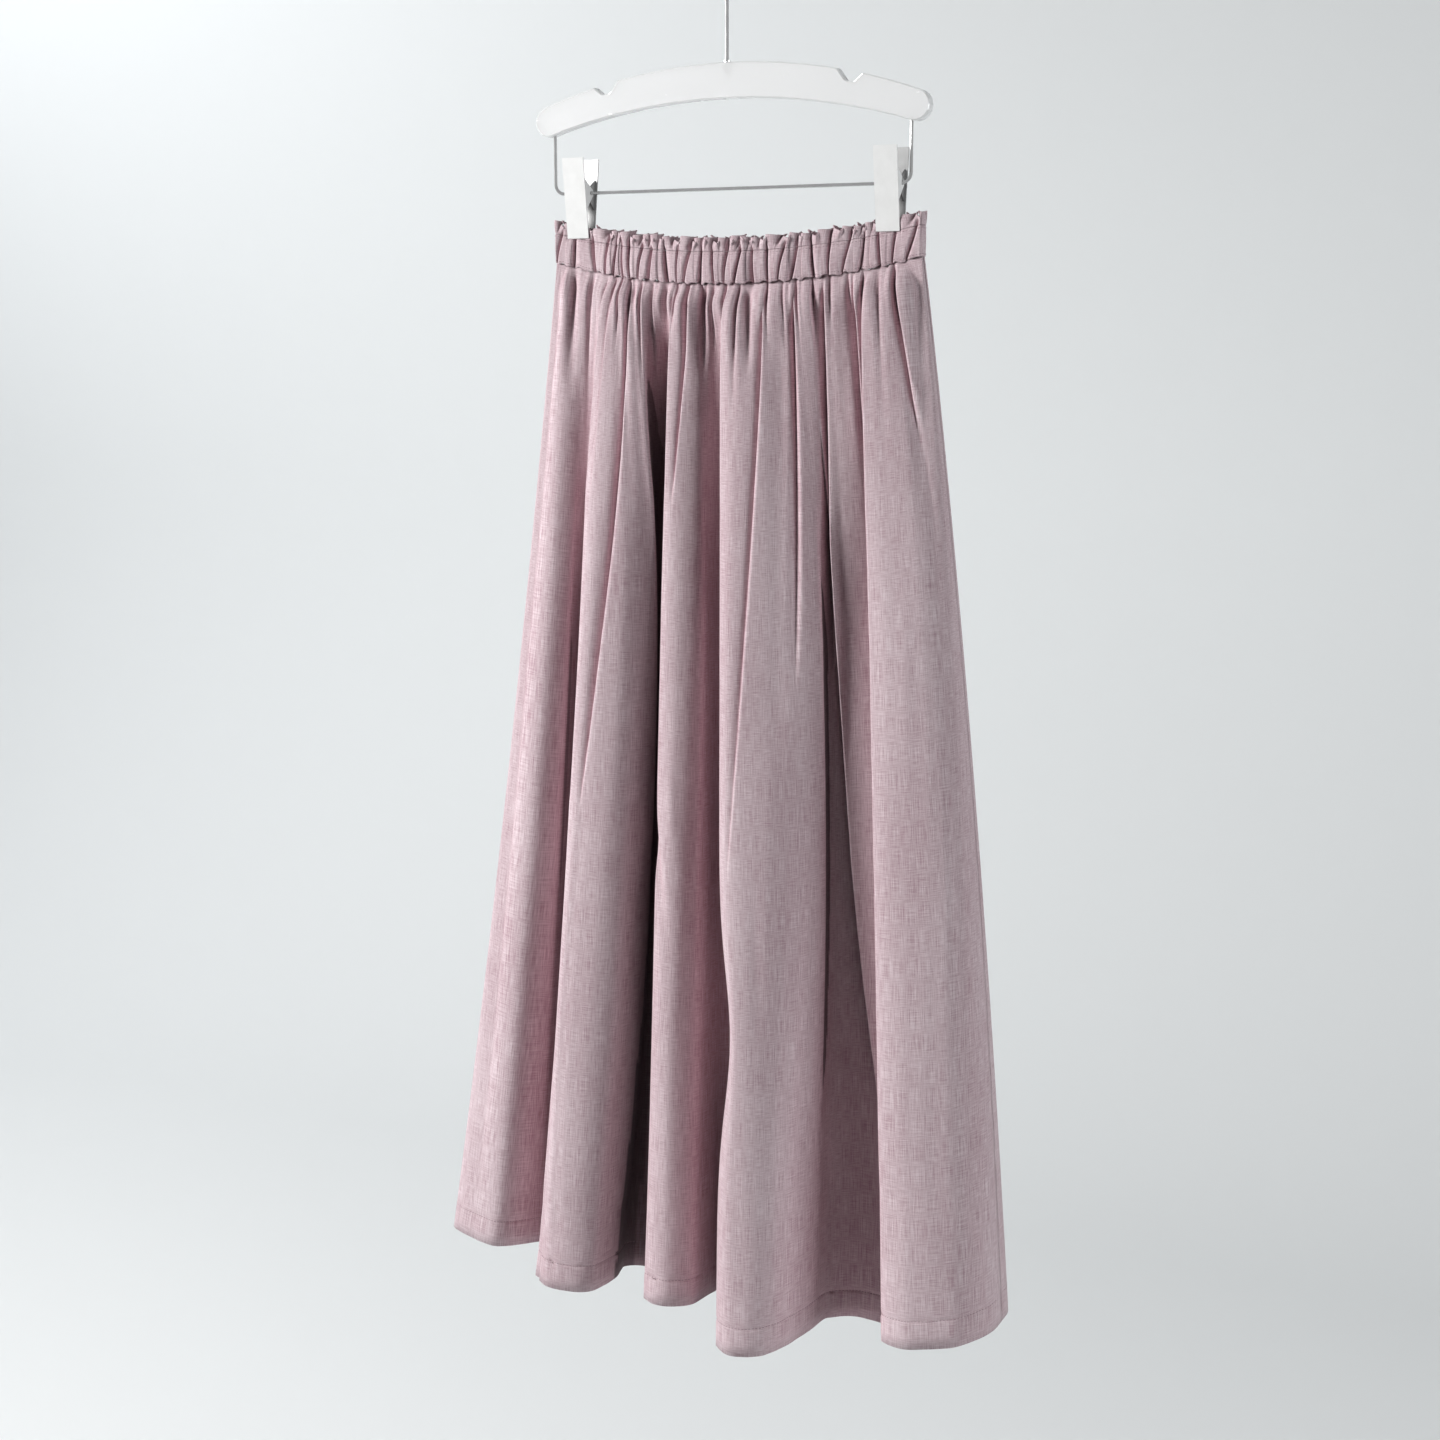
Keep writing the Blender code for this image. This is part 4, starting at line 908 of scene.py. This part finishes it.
class SKIRT_OT_panels(bpy.types.Operator):
    """Front and back panels that hang in folds from the waist"""
    bl_idname = "skirt.panels"
    bl_label = "Skirt Panels"

    def execute(self, context):
        settings = context.scene.skirt_settings
        for face, folds, pleats, hollows, creases in SIDES:
            sign = face_sign(face)
            cloth_start = 0.0 if face == "front" else BACK_CLOTH_START
            levels = panel_rows()
            rows = []
            cloth_u = []
            free = []
            for t in levels:
                at = column_places(pleats, t, GATHERS * COLUMNS_A_GATHER + 1)
                cloth_u.append(at / GATHERS * CUT_WIDTH + cloth_start)
                x, y = panel_section(folds, pleats, hollows, creases, face, at, t, settings.ripple_depth)
                y[0] += sign * SEAM_GAP / 2
                y[-1] += sign * SEAM_GAP / 2
                # Openness of the row, which darkens the linen as painted shade between the folds.
                free.append(openness(x, y, sign))
                rows.append(list(zip(x, y, panel_heights(folds, at, t))))
            mesh = grid_mesh("panel_" + face, rows, cloth_u, -levels * CUT_LENGTH, False, free)
            panel = show("panel_" + face, mesh, linen())
            thicken(panel, settings.cloth_thickness)
            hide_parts("skirt_" + face)
            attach(panel, "root")
        return {"FINISHED"}


def clip_room(x, z):
    """0 where a clip presses the waist flat, 1 beside and below the clips."""
    room = np.ones_like(x)
    for side, centre in CLIP_X.items():
        beside = (np.abs(x - centre) - CLIP_WIDTH / 2) / CLIP_FLAT
        below = (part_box("clip_" + side + "_front")[0][2] - z) / CLIP_FLAT
        room = np.minimum(room, np.clip(np.maximum(beside, below) + 0.2, 0.0, 1.0))
    return room


def ring_row(height, wave_depth, ruffle, bulge):
    """One level of the waist; height is a part of the waist's height, ruffle runs from 0 to 1."""
    points = []
    free = []
    for face, folds in (("front", FRONT_FOLDS), ("back", BACK_FOLDS)):
        sign = face_sign(face)
        knots = [row[1] for row in folds]
        at = np.linspace(0.0, GATHERS, GATHERS * RING_COLUMNS + 1)[:-1]
        x = monotone(knots, [row[2] * MM for row in folds], at)
        stand = [start_depth(row[0], row[2], sign) for row in folds]
        y = monotone(knots, stand, at)
        u = across(x)
        top = WAIST_TOP_Z - WAIST_TOP_SAG * (1 - u * u)
        low = WAIST_SEAM_Z + SEAM_GAP / 2 - WAIST_SEAM_SAG * (1 - u * u)
        flat_z = top + (low - top) * height
        room = clip_room(x, flat_z) * np.clip(np.minimum(at, GATHERS - at) / 0.5, 0.2, 1.0)
        ends = np.clip((np.abs(y) - 0.5 * WAIST_HALF_GAP) / (1.6 * WAIST_HALF_GAP), 0.6, 1.0)
        lean = (0.25 + 0.5 * np.sin(1.7 * at)) * (height - 0.5)
        size = 0.7 + 0.6 * hashed(np.floor(at + 0.5))
        turn = 2 * np.pi * (at + lean) + 1.6 * np.sin(at * 0.8)
        puffs = gather_wave(at + lean, face, CASING_SHARPNESS) + 0.3
        swing = np.sin(turn) + 0.45 * np.sin(2.0 * turn + 1.0)
        curl = np.sin(2.0 * turn) + 0.45 * np.sin(4.0 * turn + 0.5)
        wave = wave_depth * ((1.0 - ruffle) * puffs + ruffle * swing) * room * ends * size
        x = x - sign * RUFFLE_CURL * ruffle * room * ends * curl * size
        y = y + sign * (wave + bulge * room * ends)
        # The free edge flops down where it swings out, and stands up where it swings in.
        rise = 0.4 * np.sin(2.9 * at + 1.3 * np.sin(at)) - size * np.sin(turn + 0.6)
        rise = rise - 0.5 * np.sin(2.0 * turn + 0.4)
        z = flat_z + RUFFLE_LIFT * ruffle ** 2 * room * rise
        z = z + seam_pucker(at) * math.exp((height - 1.0) / 0.08)
        points += list(zip(x, y, z))
        # The painted fold shade fades out towards the heading's ruffled edge.
        light = RUFFLE_SHADE_LIFT * ruffle
        free.append(openness(x, y, sign) * (1.0 - light) + light)
    return points, np.concatenate(free)


class SKIRT_OT_waist(bpy.types.Operator):
    """Gathered casing of the elastic and the ruffled heading above it"""
    bl_idname = "skirt.waist"
    bl_label = "Skirt Waist"

    def execute(self, context):
        settings = context.scene.skirt_settings
        gap = SEAM_GAP / 2 / WAIST_HEIGHT
        count = GATHERS * RING_COLUMNS * 2
        cloth_u = [np.arange(count + 1) / count * CUT_WIDTH * 2] * CASING_ROWS

        casing_levels = np.linspace(HEADING_PART + gap, 1.0, CASING_ROWS)
        rows = []
        for height in casing_levels:
            part = (height - casing_levels[0]) / (casing_levels[-1] - casing_levels[0])
            swell = math.sin(math.pi * part)
            depth = CASING_DEPTH * (0.75 + 0.25 * swell)
            rows.append(ring_row(height, depth, 0.0, 0.5 * MM * swell))
        points, free = zip(*rows)
        mesh = grid_mesh("casing", points, cloth_u, -casing_levels * WAIST_CLOTH, True, free)
        casing = thicken(show("casing", mesh, linen()), CASING_WALL)
        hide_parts("waist_casing")
        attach(casing, "root")

        heading_levels = np.linspace(0.0, HEADING_PART - gap, HEADING_ROWS)
        rows = []
        for height in heading_levels:
            part = 1.0 - height / heading_levels[-1]
            depth = 0.75 * CASING_DEPTH + (RUFFLE_DEPTH - 0.75 * CASING_DEPTH) * part
            rows.append(ring_row(height, depth, part, 0.0))
        points, free = zip(*rows)
        mesh = grid_mesh("heading", points, cloth_u, -heading_levels * WAIST_CLOTH, True, free)
        heading = thicken(show("heading", mesh, linen()), settings.cloth_thickness * HEADING_LAYERS)
        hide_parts("waist_heading")
        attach(heading, "root")
        return {"FINISHED"}


def lifted(points, lift):
    """Points of a row moved out of the cloth, where left to right is the front's way round."""
    points = np.array(points, float)
    way = np.gradient(points[:, :2], axis=0)
    way /= np.maximum(np.hypot(way[:, 0], way[:, 1]), 1e-9)[:, None]
    points[:, 0] += way[:, 1] * lift
    points[:, 1] -= way[:, 0] * lift
    return points


def line_mesh(name, lines):
    """Mesh of edges only, one open line for each row of points."""
    points = []
    edges = []
    for line in lines:
        start = len(points)
        points += [tuple(point) for point in line]
        edges += [(start + i, start + i + 1) for i in range(len(line) - 1)]
    mesh = bpy.data.meshes.new(name)
    mesh.from_pydata(points, edges, [])
    return mesh


def node_tree(name, inputs):
    """Empty Geometry Nodes tree with named float inputs; gives the tree and both its ends."""
    tree = bpy.data.node_groups.new(name, "GeometryNodeTree")
    tree.interface.new_socket("Geometry", in_out="INPUT", socket_type="NodeSocketGeometry")
    for label, value in inputs:
        socket = tree.interface.new_socket(label, in_out="INPUT", socket_type="NodeSocketFloat")
        socket.default_value = value
    tree.interface.new_socket("Geometry", in_out="OUTPUT", socket_type="NodeSocketGeometry")
    return tree, tree.nodes.new("NodeGroupInput"), tree.nodes.new("NodeGroupOutput")


def finish_tree(tree, geometry, finish, end):
    """Turn instances into real faces and give them their material."""
    real = add_node(tree, "GeometryNodeRealizeInstances", {"Geometry": geometry})
    inputs = {"Geometry": real.outputs["Geometry"], "Material": finish}
    colour = add_node(tree, "GeometryNodeSetMaterial", inputs)
    tree.links.new(colour.outputs["Geometry"], end.inputs["Geometry"])


def stitch_tree(finish):
    """Even stitches along each line of the mesh."""
    tree, start, end = node_tree("row of stitches", (
        ("Stitch Length", 0.0022), ("Stitch Gap", 0.0008), ("Thread Radius", 0.0003)))
    length = start.outputs["Stitch Length"]
    radius = start.outputs["Thread Radius"]
    curve = add_node(tree, "GeometryNodeMeshToCurve", {"Mesh": start.outputs["Geometry"]})
    step = math_node(tree, "ADD", length, start.outputs["Stitch Gap"])
    inputs = {"Curve": curve.outputs["Curve"], "Length": step}
    places = add_node(tree, "GeometryNodeCurveToPoints", inputs, mode="LENGTH")
    inputs = {"Vector": places.outputs["Tangent"]}
    turn = add_node(tree, "FunctionNodeAlignRotationToVector", inputs, axis="Z")
    bead = add_node(tree, "GeometryNodeMeshIcoSphere", {"Subdivisions": 1, "Radius": 1.0})
    half = math_node(tree, "MULTIPLY", length, 0.5)
    size = add_node(tree, "ShaderNodeCombineXYZ", {"X": radius, "Y": radius, "Z": half})
    spread = add_node(tree, "GeometryNodeInstanceOnPoints", {
        "Points": places.outputs["Points"], "Instance": bead.outputs["Mesh"],
        "Rotation": turn.outputs["Rotation"], "Scale": size.outputs["Vector"]})
    finish_tree(tree, spread.outputs["Instances"], finish, end)
    return tree


def coil_tree(finish):
    """Close coil of round wire round the X axis."""
    tree, start, end = node_tree("coil of wire", (
        ("Turns", 8.0), ("Coil Radius", 0.0036), ("Coil Length", 0.0105), ("Wire Radius", 0.0006)))
    radius = start.outputs["Coil Radius"]
    spiral = add_node(tree, "GeometryNodeCurveSpiral", {
        "Resolution": 20, "Rotations": start.outputs["Turns"], "Start Radius": radius,
        "End Radius": radius, "Height": start.outputs["Coil Length"]})
    inputs = {"Resolution": 8, "Radius": start.outputs["Wire Radius"]}
    wire = add_node(tree, "GeometryNodeCurvePrimitiveCircle", inputs)
    tube = add_node(tree, "GeometryNodeCurveToMesh", {
        "Fill Caps": True, "Curve": spiral.outputs["Curve"], "Profile Curve": wire.outputs["Curve"]})
    smooth = add_node(tree, "GeometryNodeSetShadeSmooth", {"Geometry": tube.outputs["Mesh"]})
    finish_tree(tree, smooth.outputs["Geometry"], finish, end)
    return tree


def grown(item, tree, values):
    """Run a Geometry Nodes tree on an object and keep its result as a plain mesh."""
    rule = item.modifiers.new("rule", "NODES")
    rule.node_group = tree
    for socket in tree.interface.items_tree:
        if socket.in_out == "INPUT" and socket.name in values:
            rule[socket.identifier] = values[socket.name]
    item = apply_modifiers(item)
    if not item.data.polygons:
        raise RuntimeError("no faces in " + item.name)
    return item


class SKIRT_OT_sewing(bpy.types.Operator):
    """Rows of stitches at the hem and along both edges of the casing"""
    bl_idname = "skirt.sewing"
    bl_label = "Sewing"

    def execute(self, context):
        settings = context.scene.skirt_settings
        tree = stitch_tree(thread_material("sewing thread", settings.thread_colour))
        values = {"Stitch Length": settings.stitch_length, "Stitch Gap": settings.stitch_gap,
                  "Thread Radius": settings.thread_radius}
        lift = settings.cloth_thickness / 2 + settings.thread_radius * 0.4
        for face, folds, pleats, hollows, creases in SIDES:
            at = column_places(pleats, HEM_STITCH, GATHERS * COLUMNS_A_GATHER + 1)
            x, y = panel_section(
                folds, pleats, hollows, creases, face, at, HEM_STITCH, settings.ripple_depth)
            line = lifted(list(zip(x, y, panel_heights(folds, at, HEM_STITCH))), lift)[3:-3]
            row = grown(show("stitches_hem_" + face, line_mesh("hem line", [line]), None), tree, values)
            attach(row, "root")
        wall = (CASING_WALL + settings.thread_radius) / 2
        lines = []
        for height in (HEADING_PART + 0.06, 0.94):
            points, _ = ring_row(height, CASING_DEPTH * 0.78, 0.0, 0.0)
            lines.append(lifted(points, wall))
        row = grown(show("stitches_casing", line_mesh("casing lines", lines), None), tree, values)
        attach(row, "root")
        return {"FINISHED"}


class SKIRT_OT_hanger(bpy.types.Operator):
    """Finishes of the hanger's bar, wires and clips, and the coils of the springs"""
    bl_idname = "skirt.hanger"
    bl_label = "Hanger"

    def execute(self, context):
        settings = context.scene.hanger_settings
        clear = clear_material("clear moulded plastic", settings.bar_colour)
        wire = metal_material(
            "drawn bright wire", settings.wire_colour, 0.22, 1.0, (900, 900, 40), 0.00002)
        plate = metal_material(
            "satin plated sheet", settings.clip_colour, 0.36, 0.0, (1400, 60, 60), 0.00003)
        # Painted shade: the back plates get a darker, metallic copy of the plating in place of the shade
        # they stand in behind the front plates.
        shaded_plate_colour = [0.62 * value for value in settings.wire_colour]
        shaded_plate = metal_material("satin plated inside", shaded_plate_colour, 0.42, 1.0, (1400, 60, 60), 0.00003)
        finishes = {"hanger_bar": clear, "hanger_hook": wire, "hanger_wire": wire,
                    "hanger_ferrule": wire}
        for side in CLIP_X:
            for face in ("front", "back"):
                finishes["clip_" + side + "_" + face] = plate if face == "front" else shaded_plate
        tree = coil_tree(wire)
        for side in CLIP_X:
            low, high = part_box("clip_" + side + "_spring")
            spring = grown(show("spring_" + side, line_mesh("spring start", [[(0, 0, 0)]]), None), tree, {
                "Turns": float(settings.spring_turns), "Coil Length": (high[0] - low[0]) * 0.88})
            turned = Matrix.Rotation(math.radians(90.0), 4, "Y")
            middle = (Vector(low) + Vector(high)) / 2
            start = Matrix.Translation(middle - Vector(((high[0] - low[0]) * 0.44, 0.0, 0.0)))
            spring.data.transform(start @ turned)
            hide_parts("clip_" + side + "_spring")
            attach(spring, "root")
        for name, finish in finishes.items():
            node = NODES[name]
            node.data.materials.clear()
            node.data.materials.append(finish)
            if name in ("hanger_hook", "hanger_wire", "hanger_ferrule"):
                node.data.shade_smooth()
        return {"FINISHED"}


def camera_axes(turn, tilt):
    """Right, up and forward of a camera that stands round to the right and looks down."""
    ahead = Vector((-math.sin(turn) * math.cos(tilt), math.cos(turn) * math.cos(tilt), -math.sin(tilt)))
    right = Vector((math.cos(turn), math.sin(turn), 0.0))
    return right, right.cross(ahead), ahead


def area_light(name, place, aim, size, power, colour):
    """Rectangular light that looks at a point."""
    data = bpy.data.lights.new(name, "AREA")
    data.shape = "RECTANGLE"
    data.size, data.size_y = size
    data.energy = power
    data.color = colour
    lamp = bpy.data.objects.new(name, data)
    bpy.context.scene.collection.objects.link(lamp)
    lamp.location = place
    lamp.rotation_euler = (Vector(aim) - Vector(place)).to_track_quat("-Z", "Y").to_euler()


class SKIRT_OT_stage(bpy.types.Operator):
    """Pale floor that sweeps up behind, soft light from the left, and the camera"""
    bl_idname = "skirt.stage"
    bl_label = "Stage"

    def execute(self, context):
        settings = context.scene.stage_settings
        scene = context.scene
        scene.view_settings.view_transform = "Standard"
        backdrop, tree, shader = new_material("pale backdrop")
        colour = (*settings.backdrop_colour, 1.0)
        set_inputs(tree, shader, {"Base Color": colour, "Roughness": 0.95})
        floor_z = CAD_BOX[0][2] - FLOOR_DROP
        bend_y = WALL_Y - SWEEP_RADIUS
        profile = [(-1.2, floor_z), (bend_y, floor_z)]
        for step in range(1, SWEEP_STEPS + 1):
            turn = math.radians(90.0 * step / SWEEP_STEPS)
            height = floor_z + SWEEP_RADIUS - SWEEP_RADIUS * math.cos(turn)
            profile.append((bend_y + SWEEP_RADIUS * math.sin(turn), height))
        profile.append((WALL_Y, WALL_TOP))
        rows = [[(x, y, z) for x in (-4.4, 1.3)] for y, z in reversed(profile)]
        mesh = grid_mesh("backdrop", rows, [(0.0, 1.0)] * len(rows), np.zeros(len(rows)), False)
        sweep = show("backdrop", mesh, backdrop)

        middle = (0.0, 0.0, -0.65)
        area_light("window light", (-2.10, -1.70, 0.35), middle, (0.8, 1.2),
                   settings.key_power, (1.0, 0.995, 0.99))
        area_light("wall light", (-3.5, 0.9, 1.7), (-3.5, 2.6, -0.6), (2.6, 0.5),
                   settings.wall_power, (0.96, 0.98, 1.0))
        area_light("fill light", (2.7, -0.4, -0.2), middle, (1.2, 1.5),
                   settings.fill_power, (0.97, 0.99, 1.0))
        world = bpy.data.worlds.new("soft room")
        world.use_nodes = True
        room = world.node_tree
        # The room looks pale, and gives off less light than it shows.
        sight = room.nodes.new("ShaderNodeLightPath").outputs
        seen = math_node(room, "MAXIMUM", sight["Is Camera Ray"], sight["Is Transmission Ray"])
        mirrored = math_node(room, "MULTIPLY", sight["Is Glossy Ray"], MIRRORED_ROOM)
        seen = math_node(room, "MAXIMUM", seen, mirrored)
        shown = math_node(room, "MULTIPLY", seen, settings.room_looks)
        strength = math_node(room, "ADD", shown, settings.room_light)
        inputs = {"Color": (0.98, 0.99, 1.0, 1.0), "Strength": strength}
        set_inputs(room, room.nodes["Background"], inputs)
        scene.world = world

        data = bpy.data.cameras.new("camera")
        data.sensor_width = 36.0
        data.sensor_fit = "HORIZONTAL"
        data.lens = CAMERA_LENS
        data.clip_start = 0.05
        camera = bpy.data.objects.new("camera", data)
        scene.collection.objects.link(camera)
        right, up, ahead = camera_axes(settings.camera_turn, settings.camera_tilt)
        turned = Matrix((right, up, -ahead)).transposed().to_4x4()
        camera.matrix_world = Matrix.Translation(CAMERA_PLACE) @ turned
        scene.camera = camera
        return {"FINISHED"}


class SKIRT_PT_panel(bpy.types.Panel):
    """Sidebar panel that lists the pieces"""
    bl_label = "Maxi Skirt"
    bl_idname = "SKIRT_PT_panel"
    bl_space_type = "VIEW_3D"
    bl_region_type = "UI"
    bl_category = "Skirt"

    def draw(self, context):
        scene = context.scene
        for group, steps in (
                (scene.skirt_settings, ("skirt.panels", "skirt.waist", "skirt.sewing")),
                (scene.hanger_settings, ("skirt.hanger",)),
                (scene.stage_settings, ("skirt.stage",))):
            box = self.layout.box()
            for name in group.__annotations__:
                box.prop(group, name)
            for step in steps:
                box.operator(step)


CLASSES = (SkirtSettings, HangerSettings, StageSettings, SKIRT_OT_panels, SKIRT_OT_waist,
           SKIRT_OT_sewing, SKIRT_OT_hanger, SKIRT_OT_stage, SKIRT_PT_panel)


def register():
    for item in CLASSES:
        bpy.utils.register_class(item)
    bpy.types.Scene.skirt_settings = bpy.props.PointerProperty(type=SkirtSettings)
    bpy.types.Scene.hanger_settings = bpy.props.PointerProperty(type=HangerSettings)
    bpy.types.Scene.stage_settings = bpy.props.PointerProperty(type=StageSettings)


def unregister():
    del bpy.types.Scene.skirt_settings
    del bpy.types.Scene.hanger_settings
    del bpy.types.Scene.stage_settings
    for item in reversed(CLASSES):
        bpy.utils.unregister_class(item)


def main():
    register()
    bpy.ops.skirt.panels()
    bpy.ops.skirt.waist()
    bpy.ops.skirt.sewing()
    bpy.ops.skirt.hanger()
    bpy.ops.skirt.stage()


if __name__ == "__main__":
    main()
